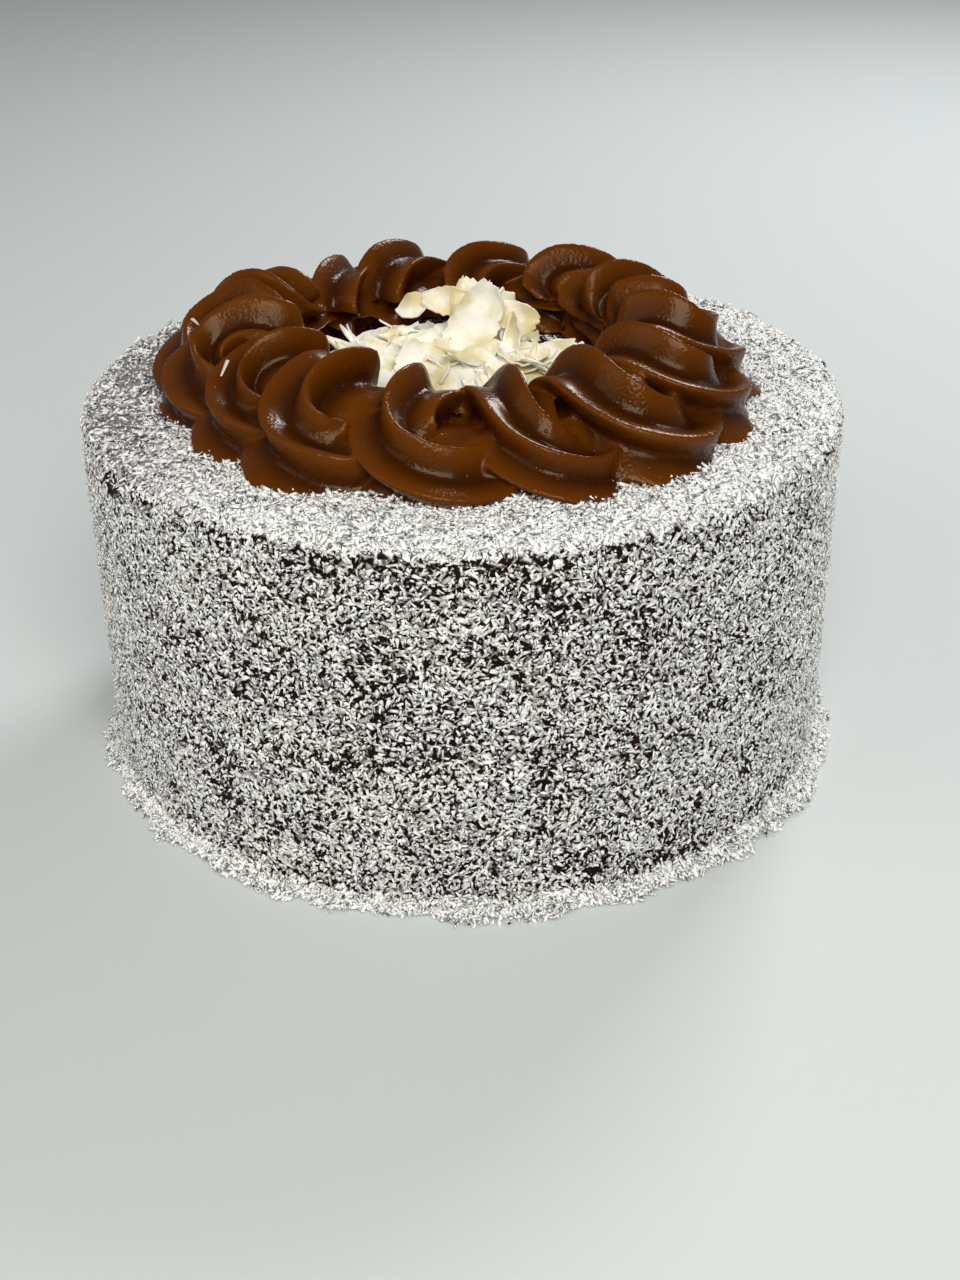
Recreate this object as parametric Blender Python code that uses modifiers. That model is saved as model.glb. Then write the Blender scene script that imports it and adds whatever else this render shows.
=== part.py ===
"""Coconut cake: a tall round cake in a coat of coconut flakes, with a ring of piped caramel
cream on its top and a heap of coconut chips inside the ring.

The helper functions work in millimetres and the meshes are stored in metres. The origin is
the middle of the flat underside, +Z is up and -Y is the front.
"""
import math

import bmesh
import bpy
import numpy as np
from mathutils import Matrix, Vector

MM = 0.001
FULL_TURN = 2 * math.pi
GAP = 0.3  # air between neighbouring solids

# The cake with its coat
CAKE_RADIUS = 99.8
CAKE_HEIGHT = 99.0
WALL_LEAN = 1.1  # how much smaller the radius is at the foot than at the rim
RIM_ROUNDING = 4.0
FOOT_SPREAD = 5.0  # how far the loose flakes reach out round the foot
FOOT_HEIGHT = 5.0
FLAKE_RELIEF = 0.6  # height of the bumps of the coat
BODY_COLUMNS = 90
WALL_ROWS = 13
RIM_ANGLES = (30, 60, 90)  # places on the rounded rim, in degrees from level
UNDERSIDE_RADII = (0, 60)
TOP_RADII = (88, 82, 76, 64, 50, 36, 18, 0)
BODY_SEED = 11

# The piped ring: one strand that goes round in small loops
RING_CENTRE = (0.0, 4.0)
RING_FLOOR = CAKE_HEIGHT + FLAKE_RELIEF + GAP
STRAND_CORE = 7.0  # radius of the strand in the valleys between its ribs
RIB_HEIGHT = 6.2
RIB_COUNT = 6
RIB_SHARPNESS = 1.1
RIB_ROUNDING = 0.1  # of the crests of the ribs
RIB_TURN = 0.1  # where the ribs sit on the strand, in radians
AXIS_HEIGHT = 6.4  # of the strand's axis above the cake
CLIMB = 5.0  # each loop's near side lies on the loop before it
LOOP_TILT = 3.2  # the loops are higher at the hole than outside
LOOP_ALONG = 4.0  # half the width of a loop along the ring
LOOP_POINT = 0.3  # how much narrower than that it is at its crest, and wider at its outer side
CREST_PHASE = 0.66  # part of a loop at which its crest is reached
SLUMP = 5.0  # how far the soft cream spreads outward at the cake's top
SLUMP_HEIGHT = 18.0
SLUMP_CURVE = 1.3
SLUMP_DRAW = 0.35  # part of the spreading that draws the cream in above
SLUMP_REACH = (54.0, 66.0)  # the spreading grows from nothing to all between these radii
TAPER = 0.12  # the strand thickens and ends over this part of a loop
LEAN_ALONG = 10.0  # moves each loop along the ring so that its crest sits at the stated angle
CREST_THINNING = 0.1  # the strand is this much thinner where it turns at its crest
# How unevenly the cream was piped: the size of the slow changes in each measure
MIDDLE_WANDER = 0.5
REACH_WANDER = 0.06
ALONG_WANDER = 0.1
LIFT_WANDER = 0.5
ROLL_WANDER = 0.25
SWELL_WANDER = 0.05
RIB_WANDER = 0.12
# Each loop: angle of its crest in degrees, radius of its middle, its reach in and out, its lift,
# and how far its crest lies ahead of its outer side
LOOPS = (
    (108, 61.0, 7.0, -5.0, 10.0),
    (126, 61.0, 7.0, -5.0, 12.0),
    (150, 64.0, 8.0, -2.0, 2.0),
    (165, 63.0, 8.4, -1.0, 3.0),
    (187, 60.0, 8.8, 0.0, 3.5),
    (208, 59.0, 8.8, -0.5, 3.5),
    (229, 59.5, 9.2, -1.0, 3.5),
    (252, 60.0, 9.7, -1.5, 3.5),
    (276, 61.5, 10.5, -1.5, 2.0),
    (297, 63.5, 10.5, -1.0, 1.0),
    (319, 61.5, 10.0, 0.0, 1.5),
    (341, 57.5, 8.8, 0.0, 3.0),
    (364, 55.0, 8.4, -2.0, 3.0),
    (389, 57.0, 8.4, -4.0, 2.5),
    (415, 61.0, 7.0, -5.0, 10.0),
    (442, 61.0, 7.0, -5.0, 10.0),
    (464, 61.0, 7.0, -5.0, 10.0),
)
STRAND_STEPS = 36  # for each loop
STRAND_SIDES = 48
RING_SEED = 12
RING_BED = (62.0, 13.0, 8.0)  # radius, half width and height of the cream under the loops
HOLE_RADIUS = 42.5
HOLE_SOFTNESS = 0.25  # cream inside that radius is pushed back to this part of its depth
RING_VOXEL = 1.0
RING_TRIANGLES = 6200

# The heap of coconut chips: a low core with thin curled chips in it
HEAP_CENTRE = (-4.0, 4.0)
HEAP_RADIUS = (32.0, 28.0)
HEAP_HEIGHT = 7.5
HEAP_COLUMNS = 20
CHIP_THICKNESS = 0.9
CHIP_CELLS = (4, 2)  # along and across
CHIP_POINT = 0.6  # how much narrower a chip is at its ends
CHIP_DISH = 0.12  # how much its sides curl up, as a share of its width
CHIP_FLAT_SIDE = 0.5  # how far one long side reaches out, as a share of the other
HEAP_ROWS = 8
HEAP_LIMIT = 40.5  # the chips stay this close to the middle of the ring's hole
HEAP_SEED = 21
LOOSE_CHIPS = 2
# The chips that stand out: x and y of the middle, height over the cake's top, length, width,
# curl, and the heading, pitch and roll in degrees
CHIPS = (
    (2, 6, 15.0, 24, 12.5, 0.5, 23, 53, 46),
    (0, 12, 14.5, 20, 9, -0.4, 67, 78, 20),
    (8, 12, 13.4, 18, 9, 0.4, 30, 66, 74),
    (-4, 14, 19.0, 16, 9, 0.35, -19, 7, 62),
    (-11, 16, 16.6, 13, 8, -0.4, -22, 15, 50),
    (15, 8, 16.0, 15, 9.5, 0.4, -10, -20, 60),
    (11, 6, 10.5, 14, 8, 0.5, 77, 66, 74),
    (13, 4, 10.5, 14, 8, -0.5, 101, 58, -68),
    (25, 13, 4.2, 15, 7, 0.3, -28, 2, 0),
    (22, 1, 5.6, 24, 10, 0.4, 46, -4, 14),
    (15, 0, 7.2, 16, 13, 0.4, -11, -9, 0),
    (-8, -9, 7.2, 17, 14, 0.3, -83, -21, 2),
    (3, -8, 7.6, 17, 12, -0.4, -21, -8, 16),
    (-17, -1, 6.6, 20, 12, 0.5, -44, -5, 6),
    (2, -7, 9.6, 18, 6, 0.5, 35, 0, 18),
    (-28, 20, 3.6, 19, 4, 0.4, -53, -4, 18),
    (-27, 12, 4.6, 24, 6, 0.4, -34, 2, 20),
    (-26, 5, 4.4, 22, 8, 0.35, -48, 1, 0),
    (-18, 17, 5.6, 12, 8, 0.8, 6, 6, 30),
    (-12, 3, 8.6, 14, 8, 0.9, 35, 0, 26),
    (-8, 8, 8.6, 14, 9, 0.6, -14, 10, 30),
)


def clear_scene():
    for old in list(bpy.data.objects):
        bpy.data.objects.remove(old, do_unlink=True)


def new_collection(name):
    collection = bpy.data.collections.new(name)
    bpy.context.scene.collection.children.link(collection)
    return collection


def new_material(name, colour, roughness):
    material = bpy.data.materials.new(name)
    material.use_nodes = True
    shader = material.node_tree.nodes["Principled BSDF"]
    shader.inputs["Base Color"].default_value = (*colour, 1.0)
    shader.inputs["Roughness"].default_value = roughness
    shader.inputs["Metallic"].default_value = 0.0
    return material


def new_object(name, mesh, collection, material=None):
    thing = bpy.data.objects.new(name, mesh)
    collection.objects.link(thing)
    if material:
        mesh.materials.clear()
        mesh.materials.append(material)
    return thing


def mesh_from(bm, name):
    """Turn a bmesh into a mesh with its faces pointing out."""
    bmesh.ops.recalc_face_normals(bm, faces=bm.faces)
    mesh = bpy.data.meshes.new(name)
    bm.to_mesh(mesh)
    bm.free()
    return mesh


def ease(places, table):
    """The table's value at each place, with soft steps from one entry to the next."""
    table = np.asarray(table, float)
    index = np.clip(np.floor(places).astype(int), 0, len(table) - 2)
    part = np.clip(places - index, 0, 1)
    part = part * part * (3 - 2 * part)
    return table[index] * (1 - part) + table[index + 1] * part


def wander(random, turns, amount, spacing=1.0):
    """A slow random change along the strand."""
    knots = random.normal(0, amount, int(turns[-1] / spacing) + 4)
    return ease(turns / spacing + 1, knots)


def cake_profile():
    """Radius and height from the middle of the underside, up the wall, to the middle of the top."""
    foot = CAKE_RADIUS - WALL_LEAN
    wall_top = CAKE_HEIGHT - RIM_ROUNDING
    points = [(radius, 0) for radius in UNDERSIDE_RADII]
    points += [(foot + FOOT_SPREAD, 0), (foot + FOOT_SPREAD * 0.7, FOOT_HEIGHT * 0.4)]
    for row in range(WALL_ROWS):
        height = FOOT_HEIGHT + (wall_top - FOOT_HEIGHT) * row / (WALL_ROWS - 1)
        points.append((CAKE_RADIUS - WALL_LEAN * (1 - height / CAKE_HEIGHT), height))
    for angle in RIM_ANGLES:
        turn = math.radians(angle)
        points.append((CAKE_RADIUS - RIM_ROUNDING * (1 - math.cos(turn)),
                       wall_top + RIM_ROUNDING * math.sin(turn)))
    points += [(radius, CAKE_HEIGHT) for radius in TOP_RADII]
    return points


def make_body(collection):
    """The cake: a profile turned round the middle, with bumps as high as the coat's flakes."""
    bm = bmesh.new()
    verts = [bm.verts.new((radius * MM, 0, height * MM)) for radius, height in cake_profile()]
    edges = [bm.edges.new(pair) for pair in zip(verts, verts[1:])]
    bmesh.ops.spin(bm, geom=verts + edges, cent=(0, 0, 0), axis=(0, 0, 1), angle=FULL_TURN,
                   steps=BODY_COLUMNS, use_merge=True)
    bmesh.ops.remove_doubles(bm, verts=bm.verts, dist=0.01 * MM)
    random = np.random.default_rng(BODY_SEED)
    for vert in bm.verts:
        bump = random.uniform(-1, 1)
        radius = vert.co.xy.length / MM
        height = vert.co.z / MM
        if radius > CAKE_RADIUS - RIM_ROUNDING:
            vert.co.xy *= 1 + bump * FLAKE_RELIEF / CAKE_RADIUS
        if height > CAKE_HEIGHT - RIM_ROUNDING / 2:
            vert.co.z += random.uniform(-1, 1) * FLAKE_RELIEF * MM
    bmesh.ops.triangulate(bm, faces=bm.faces)
    mesh = mesh_from(bm, "cake_body")
    mesh.shade_smooth()
    coat = new_material("coconut_coat", (0.42, 0.38, 0.36), 0.9)
    return new_object("cake_body", mesh, collection, coat)


def strand_points(steps, sides):
    """The piped strand: a row of points round it at each step, in lines that follow its ribs."""
    loops = np.array(LOOPS, float)
    turns = np.linspace(0, len(loops) - 1, (len(loops) - 1) * steps + 1)
    phase = FULL_TURN * turns
    place = turns - CREST_PHASE
    random = np.random.default_rng(RING_SEED)
    crest = np.radians(np.interp(place, np.arange(-1, len(loops)),
                                 [2 * loops[0, 0] - loops[1, 0], *loops[:, 0]]))
    window = np.hanning(3 * steps // 4)
    crest = np.convolve(np.pad(crest, len(window) // 2, mode="edge"), window / window.sum(), "same")
    crest = crest[len(window) // 2:][:len(turns)]
    middle = ease(place, loops[:, 1]) + wander(random, turns, MIDDLE_WANDER)
    reach = ease(place, loops[:, 2]) * (1 + wander(random, turns, REACH_WANDER))
    along = LOOP_ALONG * (1 + wander(random, turns, ALONG_WANDER)) * np.sin(phase)
    along *= 1 + LOOP_POINT * np.cos(phase)
    along += LEAN_ALONG - ease(place, loops[:, 4]) * (1 + np.cos(phase))
    radius = middle + reach * np.cos(phase)
    angle = crest + along / middle
    lift = ease(place, loops[:, 3]) + wander(random, turns, LIFT_WANDER)
    height = RING_FLOOR + AXIS_HEIGHT - CLIMB * np.sin(phase) - LOOP_TILT * np.cos(phase) + lift
    axis = np.stack([RING_CENTRE[0] + radius * np.cos(angle),
                     RING_CENTRE[1] + radius * np.sin(angle), height], -1)
    ahead = np.gradient(axis, axis=0)
    ahead /= np.linalg.norm(ahead, axis=1)[:, None]
    over = np.array([0, 0, 1.0]) - ahead[:, 2:3] * ahead
    over /= np.linalg.norm(over, axis=1)[:, None]
    aside = np.cross(ahead, over)
    rib = np.linspace(0, FULL_TURN, sides, endpoint=False)
    turned = RIB_TURN + wander(random, turns, ROLL_WANDER)
    roll = rib[None, :] - turned[:, None]
    valley = np.sqrt(np.sin(RIB_COUNT * rib / 2) ** 2 + RIB_ROUNDING ** 2) - RIB_ROUNDING
    ridge = np.clip(1 - valley, 0, 1) ** RIB_SHARPNESS
    swell = 1 - CREST_THINNING * np.cos(phase) + wander(random, turns, SWELL_WANDER, 0.7)
    swell *= np.sqrt(np.clip(np.minimum(turns, turns[-1] - turns) / TAPER + 0.05, 0, 1))
    ribs = RIB_HEIGHT * (1 + wander(random, turns, RIB_WANDER, 0.5))
    section = (STRAND_CORE + ribs[:, None] * ridge[None, :]) * swell[:, None]
    return (axis[:, None, :] + (section * np.cos(roll))[..., None] * over[:, None, :]
            + (section * np.sin(roll))[..., None] * aside[:, None, :])


def settle(points):
    """Soft cream: what would reach below the cake's top lies flat on it, and the hole stays open."""
    points = points.copy()
    height = np.maximum(points[..., 2] - RING_FLOOR, 0)
    away = points[..., :2] - np.array(RING_CENTRE)
    radius = np.linalg.norm(away, axis=-1)
    outer = np.clip((radius - SLUMP_REACH[0]) / (SLUMP_REACH[1] - SLUMP_REACH[0]), 0, 1)
    low = np.clip(1 - height / SLUMP_HEIGHT, 0, 1)
    wanted = radius + SLUMP * outer * (low ** SLUMP_CURVE - SLUMP_DRAW)
    wanted = np.maximum(wanted, HOLE_RADIUS + HOLE_SOFTNESS * (wanted - HOLE_RADIUS))
    points[..., :2] = np.array(RING_CENTRE) + away * (wanted / radius)[..., None]
    points[..., 2] = RING_FLOOR + height
    return points


def strand_mesh(steps, sides):
    """A grid rolled up into the strand's tube, with closed ends."""
    points = settle(strand_points(steps, sides))
    rows = len(points)
    bm = bmesh.new()
    bmesh.ops.create_grid(bm, x_segments=rows - 1, y_segments=sides, size=1)
    for vert in bm.verts:
        row = round((vert.co.x + 1) / 2 * (rows - 1))
        side = round((vert.co.y + 1) / 2 * sides) % sides
        vert.co = Vector(points[row, side]) * MM
    bmesh.ops.remove_doubles(bm, verts=bm.verts, dist=0.001 * MM)
    bmesh.ops.holes_fill(bm, edges=[edge for edge in bm.edges if edge.is_boundary])
    return mesh_from(bm, "strand")


def with_modifier(thing, name, kind, **settings):
    """Apply one modifier to an object's mesh."""
    modifier = thing.modifiers.new(name, kind)
    for key, value in settings.items():
        setattr(modifier, key, value)
    graph = bpy.context.evaluated_depsgraph_get()
    mesh = bpy.data.meshes.new_from_object(thing.evaluated_get(graph))
    thing.modifiers.remove(modifier)
    thing.data = mesh


def fill_hollows(mesh):
    """Keep the outer skin: sealed hollows inside it, and loose scraps, are smaller pieces."""
    bm = bmesh.new()
    bm.from_mesh(mesh)
    waiting = set(bm.verts)
    pieces = []
    while waiting:
        piece = [waiting.pop()]
        for vert in piece:
            for edge in vert.link_edges:
                other = edge.other_vert(vert)
                if other in waiting:
                    waiting.remove(other)
                    piece.append(other)
        pieces.append(piece)
    pieces.sort(key=len)
    bmesh.ops.delete(bm, geom=[vert for piece in pieces[:-1] for vert in piece], context="VERTS")
    bm.to_mesh(mesh)
    bm.free()


def make_ring(collection):
    """The ring: the looped strand and the cream it lies on, in one skin."""
    strand = new_object("caramel_ring", strand_mesh(STRAND_STEPS, STRAND_SIDES), collection)
    bpy.ops.mesh.primitive_torus_add(
        major_segments=64, minor_segments=16, major_radius=RING_BED[0] * MM,
        minor_radius=RING_BED[1] * MM,
        location=(RING_CENTRE[0] * MM, RING_CENTRE[1] * MM, RING_FLOOR * MM))
    bed = bpy.context.object
    bed.scale.z = RING_BED[2] / RING_BED[1]
    floor = RING_FLOOR * MM
    with bpy.context.temp_override(active_object=strand, selected_editable_objects=[strand, bed]):
        bpy.ops.object.join()
    for vert in strand.data.vertices:
        vert.co.z = max(vert.co.z, floor)
    with_modifier(strand, "one_skin", "REMESH", mode="VOXEL", voxel_size=RING_VOXEL * MM)
    fill_hollows(strand.data)
    with_modifier(strand, "soft", "SMOOTH", factor=0.5, iterations=1)
    share = RING_TRIANGLES / (2 * len(strand.data.polygons))
    with_modifier(strand, "fewer_faces", "DECIMATE", ratio=share)
    for vert in strand.data.vertices:
        vert.co.z = max(vert.co.z, floor)
    strand.data.shade_smooth()
    strand.data.materials.clear()
    strand.data.materials.append(new_material("caramel_cream", (0.17, 0.05, 0.008), 0.3))
    return strand


def chip_mesh(length, width, curl, ripple, thickness, cells):
    """A thin chip: a leaf-shaped sheet curled along its length, with a ripple in its edges."""
    along, across = cells
    bm = bmesh.new()
    bmesh.ops.create_grid(bm, x_segments=along, y_segments=across, size=1)
    for vert in bm.verts:
        run = vert.co.x
        side = vert.co.y
        half = width * (1 - CHIP_POINT * abs(run) ** 2.5)
        half *= CHIP_FLAT_SIDE if side > 0 else 1
        half /= 1 + CHIP_FLAT_SIDE
        bend = curl * run
        radius = length / 2 / curl
        sheet = Vector((radius * math.sin(bend), side * half, radius * (1 - math.cos(bend))))
        sheet.z += ripple * side * math.sin(2.6 * run + 0.8) + CHIP_DISH * width * side * side
        vert.co = sheet * MM
    bmesh.ops.triangulate(bm, faces=bm.faces)
    bmesh.ops.recalc_face_normals(bm, faces=bm.faces)
    bmesh.ops.solidify(bm, geom=bm.faces, thickness=thickness * MM)
    return mesh_from(bm, "chip")


def chip_table():
    """The chips that stand out, then loose ones drawn at random over the heap."""
    random = np.random.default_rng(HEAP_SEED)
    rows = [(*row, random.uniform(0.5, 1.5)) for row in CHIPS]
    for _ in range(LOOSE_CHIPS):
        turn = random.uniform(-1.1, 0.15) * math.pi
        out = math.sqrt(random.uniform(0.02, 0.85))
        x = HEAP_CENTRE[0] + HEAP_RADIUS[0] * out * math.cos(turn)
        y = HEAP_CENTRE[1] + HEAP_RADIUS[1] * out * math.sin(turn)
        height = 1.5 + (HEAP_HEIGHT - 1.0) * (1 - out ** 2)
        rows.append((x, y, height, random.uniform(12, 21), random.uniform(6, 12),
                     random.uniform(0.3, 0.9) * random.choice((-1, 1)), random.uniform(0, 360),
                     random.uniform(-14, 14), random.uniform(-28, 28), random.uniform(0.3, 1.2)))
    return rows


def chip_pose(row):
    """Where a chip lies: moved in where it would come too near the ring."""
    x, y, height = row[:3]
    heading, pitch, roll = (math.radians(value) for value in row[6:9])
    reach = Vector((x - RING_CENTRE[0], y - RING_CENTRE[1]))
    half = row[3] / 2 * math.cos(pitch) * abs(math.cos(heading - math.atan2(reach.y, reach.x)))
    half += row[4] / 2 * abs(math.sin(heading - math.atan2(reach.y, reach.x)))
    if reach.length + half > HEAP_LIMIT:
        reach *= max(HEAP_LIMIT - half, 0) / reach.length
    place = Vector((RING_CENTRE[0] + reach.x, RING_CENTRE[1] + reach.y, RING_FLOOR + height)) * MM
    turn = Matrix.Rotation(heading, 4, "Z") @ Matrix.Rotation(-pitch, 4, "Y")
    return Matrix.Translation(place) @ turn @ Matrix.Rotation(roll, 4, "X")


def heap_core():
    """A low mound with a flat underside."""
    bm = bmesh.new()
    bmesh.ops.create_uvsphere(bm, u_segments=HEAP_COLUMNS, v_segments=HEAP_ROWS, radius=1)
    for vert in bm.verts:
        height = max(vert.co.z, 0) * HEAP_HEIGHT
        vert.co = Vector((HEAP_CENTRE[0] + vert.co.x * HEAP_RADIUS[0],
                          HEAP_CENTRE[1] + vert.co.y * HEAP_RADIUS[1], RING_FLOOR + height)) * MM
    bottom = [vert for vert in bm.verts if vert.co.z < (RING_FLOOR + 0.001) * MM
              and (vert.co.xy / MM - Vector(HEAP_CENTRE)).length < min(HEAP_RADIUS) - 0.5]
    bmesh.ops.delete(bm, geom=bottom, context="VERTS")
    bmesh.ops.holes_fill(bm, edges=[edge for edge in bm.edges if edge.is_boundary])
    return mesh_from(bm, "coconut_chips")


def make_chips(collection):
    """The heap: chips of true size joined to the core by one union."""
    chips = new_material("coconut_flesh", (0.86, 0.82, 0.68), 0.55)
    heap = new_object("coconut_chips", heap_core(), collection, chips)
    loose = new_collection("loose_chips")
    for number, row in enumerate(chip_table()):
        mesh = chip_mesh(row[3], row[4], row[5], row[9], CHIP_THICKNESS, CHIP_CELLS)
        chip = new_object(f"chip_{number:02d}", mesh, loose)
        mesh.transform(chip_pose(row))
        for vert in mesh.vertices:
            vert.co.z = max(vert.co.z, (RING_FLOOR + 0.05) * MM)
    with_modifier(heap, "joined_chips", "BOOLEAN", operation="UNION", operand_type="COLLECTION",
                  collection=loose, solver="MANIFOLD")
    for chip in list(loose.objects):
        bpy.data.objects.remove(chip, do_unlink=True)
    bpy.data.collections.remove(loose)
    return heap


clear_scene()
cake = new_collection("coconut_cake")
make_body(cake)
make_ring(cake)
make_chips(cake)
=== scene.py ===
# %% [markdown]
# # A coconut cake with a piped caramel ring
# The real object is a tall chocolate layer cake. Its wall and top are coated in dried coconut
# flakes, a ring of caramel cream is piped on top in small loops, and a heap of curled coconut
# chips lies inside the ring. The plain solids are loaded first. They give the sizes, and every
# piece made here stays where its solid is.

# %% Load the plain solids
import math

import bmesh
import bpy
import numpy as np
from mathutils import Matrix, Vector, kdtree, noise


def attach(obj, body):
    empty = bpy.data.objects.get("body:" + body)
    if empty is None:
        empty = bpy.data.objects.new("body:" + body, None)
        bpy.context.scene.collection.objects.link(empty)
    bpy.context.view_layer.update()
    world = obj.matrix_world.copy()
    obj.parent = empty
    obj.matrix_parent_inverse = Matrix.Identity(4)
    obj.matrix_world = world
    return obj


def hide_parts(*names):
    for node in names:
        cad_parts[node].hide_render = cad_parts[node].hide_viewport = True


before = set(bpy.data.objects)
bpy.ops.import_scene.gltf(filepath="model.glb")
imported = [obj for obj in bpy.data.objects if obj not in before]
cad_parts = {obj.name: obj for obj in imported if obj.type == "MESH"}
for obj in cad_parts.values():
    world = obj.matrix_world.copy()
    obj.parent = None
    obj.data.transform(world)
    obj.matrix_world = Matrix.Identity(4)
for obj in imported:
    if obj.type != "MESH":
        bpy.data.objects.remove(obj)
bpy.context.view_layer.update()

# %% [markdown]
# ## Units and small helpers
# Blender works in metres, but a cake is easier to think of in millimetres, so the shapes are
# worked out in millimetres and scaled when the mesh is stored. Colours are written as sRGB hex
# values, the way a colour picker shows them. Shaders want linear values, so one function turns
# them. Another adds a shader node together with its settings and links, and hands back the
# output that the next node needs.

# %% Helpers for sizes, colours and nodes
MM = 0.001
FULL_TURN = 2 * math.pi


def linear(code):
    """The linear colour for an sRGB hex value."""
    parts = [int(code[place:place + 2], 16) / 255 for place in (0, 2, 4)]
    return (*[part / 12.92 if part <= 0.04045 else ((part + 0.055) / 1.055) ** 2.4 for part in parts], 1.0)


def add_node(tree, kind, output, inputs=None, **settings):
    """Add a node and return one of its outputs. An input gets a value, or the output it is linked from."""
    made = tree.nodes.new(kind)
    for name, value in settings.items():
        setattr(made, name, value)
    for name, value in (inputs or {}).items():
        if isinstance(value, bpy.types.NodeSocket):
            tree.links.new(value, made.inputs[name])
        else:
            made.inputs[name].default_value = value
    return made.outputs[output]


# The sockets of a Mix node that mixes colours have numbers: three inputs and the output
FACTOR, FIRST, SECOND = 0, 6, 7
MIXED = 2


def new_material(name, **values):
    """A Principled material with fixed values on its sockets."""
    material = bpy.data.materials.new(name)
    material.use_nodes = True
    shader = material.node_tree.nodes["Principled BSDF"]
    for socket, value in values.items():
        shader.inputs[socket.replace("_", " ")].default_value = value
    print("new material:", name)
    return material, material.node_tree, shader


print("sRGB 808080 is", round(linear("808080")[0], 3), "in linear light")


def mesh_from(bm, name):
    """Store a bmesh, in millimetres, as a mesh in metres whose faces point out."""
    bmesh.ops.recalc_face_normals(bm, faces=bm.faces)
    bmesh.ops.scale(bm, vec=(MM, MM, MM), verts=bm.verts)
    mesh = bpy.data.meshes.new(name)
    bm.to_mesh(mesh)
    bm.free()
    return mesh


def new_piece(name, mesh, material):
    """A piece of the cake: it moves with the one body and gets its material."""
    piece = bpy.data.objects.new(name, mesh)
    bpy.context.scene.collection.objects.link(piece)
    mesh.materials.clear()
    mesh.materials.append(material)
    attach(piece, "root")
    print(name, "has", sum(len(face.vertices) - 2 for face in mesh.polygons), "triangles")
    return piece


# %% [markdown]
# ## The cake under its coat
# The cake is a cylinder that is a little narrower at the foot, with a rounded rim, covered in
# dark chocolate. It could be a cylinder with a bevel, but a profile turned round the middle
# follows the lean of the wall and the skirt of loose flakes at the foot as well. The same
# profile later says where each flake lies, so it is kept as a table of distances along it.

# %% The profile of the cake
CAKE_RADIUS = 99.3  # under the flakes
CAKE_HEIGHT = 98.7
WALL_LEAN = 1.1
RIM_ROUNDING = 3.5
FOOT_SPREAD = 1.6
FOOT_HEIGHT = 3.0
FOOT_MIDDLE = (0.6, 0.4)  # a point half way up the foot, as shares of its spread and its height
WALL_POINTS = 40
RIM_POINTS = 9
WALL_TOP = CAKE_HEIGHT - RIM_ROUNDING
SLOPE_STEP = 0.5  # the direction at a place is measured between points this far before and after it


def profile_points():
    """Radius and height from the foot of the wall to the middle of the top."""
    foot = CAKE_RADIUS - WALL_LEAN
    points = [(foot + FOOT_SPREAD, 0.0), (foot + FOOT_SPREAD * FOOT_MIDDLE[0], FOOT_HEIGHT * FOOT_MIDDLE[1])]
    for height in np.linspace(FOOT_HEIGHT, WALL_TOP, WALL_POINTS):
        points.append((CAKE_RADIUS - WALL_LEAN * (1 - height / CAKE_HEIGHT), height))
    for turn in np.radians(np.linspace(10, 90, RIM_POINTS)):
        points.append((CAKE_RADIUS - RIM_ROUNDING * (1 - math.cos(turn)),
                       WALL_TOP + RIM_ROUNDING * math.sin(turn)))
    points.append((0.0, CAKE_HEIGHT))
    return np.array(points)


profile = profile_points()
run = np.concatenate([[0], np.cumsum(np.linalg.norm(np.diff(profile, axis=0), axis=1))])
WALL_END = float(run[WALL_POINTS + 1])
RIM_END = float(run[-2])


def on_profile(along):
    """Radius, height and outward direction at a distance along the profile."""
    before, here, after = [[np.interp(along + step, run, profile[:, axis]) for axis in (0, 1)]
                           for step in (-SLOPE_STEP, 0, SLOPE_STEP)]
    reach = after[0] - before[0]
    rise = after[1] - before[1]
    length = np.hypot(rise, reach) + 1e-9
    return here[0], here[1], rise / length, -reach / length


print("the profile is", round(run[-1]), "mm long")
print("the wall ends at", round(WALL_END), "and the rim at", round(RIM_END))

# %% [markdown]
# ## Dark chocolate
# A coat of dark chocolate icing holds the flakes. It is brown-black and half matt, and between
# the flakes it shows as dark gaps. Flakes that have sunk into it show as dull grey flecks. On
# the rim, on the top and at the foot the coconut is packed so thick that the ground is pale. On
# the left of the top it is painted darker: the coat is thinner there, and the dark is also a
# painted shade from the ring. The pale parts could be a second piece, but a mask is lighter
# and has no seam. It is worked out from height and radius, and noise makes its edge ragged.

# %% The chocolate material
CHOCOLATE_IOR = 1.46
ICING_PATCH_MM = 11.1
ICING_GRAIN_MM = 1.11
FLECK_MM = 0.9
FLECKS = (0.6, 0.66)  # the part of the noise that shows as flecks
PACKED_ABOVE = (97.6, 98.4)  # the ground turns pale between these heights
PACKED_RAGGED_MM = 2.5  # how far that edge runs up and down
RAGGED_EDGE_MM = 5.0
PACKED_BELOW = (2.6, 0.8)
PACKED_RADIUS = (70.0, 74.0)  # on the top it turns pale outside the ring, between these radii
THIN_SHADED_SIDE = (-52.0, -86.0)  # the top's coat gets thinner, and is painted darker as shade from the ring, to the left between these places
THIN_SHADED_PART = 0.72  # how much of it is missing there, and how much darker the ground is painted


def icing_colour(tree, place, flecks):
    """Brown-black icing in soft patches, with grey flecks."""
    patches = add_node(tree, "ShaderNodeTexNoise", "Fac",
                       {"Vector": place, "Scale": 1000 / ICING_PATCH_MM, "Detail": 4.0})
    icing = add_node(tree, "ShaderNodeMix", MIXED,
                     {FACTOR: patches, FIRST: linear("0a0302"), SECOND: linear("220e07")}, data_type="RGBA")
    fleck = add_node(tree, "ShaderNodeMapRange", "Result",
                     {"Value": flecks, "From Min": FLECKS[0], "From Max": FLECKS[1]},
                     interpolation_type="SMOOTHSTEP")
    return add_node(tree, "ShaderNodeMix", MIXED,
                    {FACTOR: fleck, FIRST: icing, SECOND: linear("77706b")}, data_type="RGBA")


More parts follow.
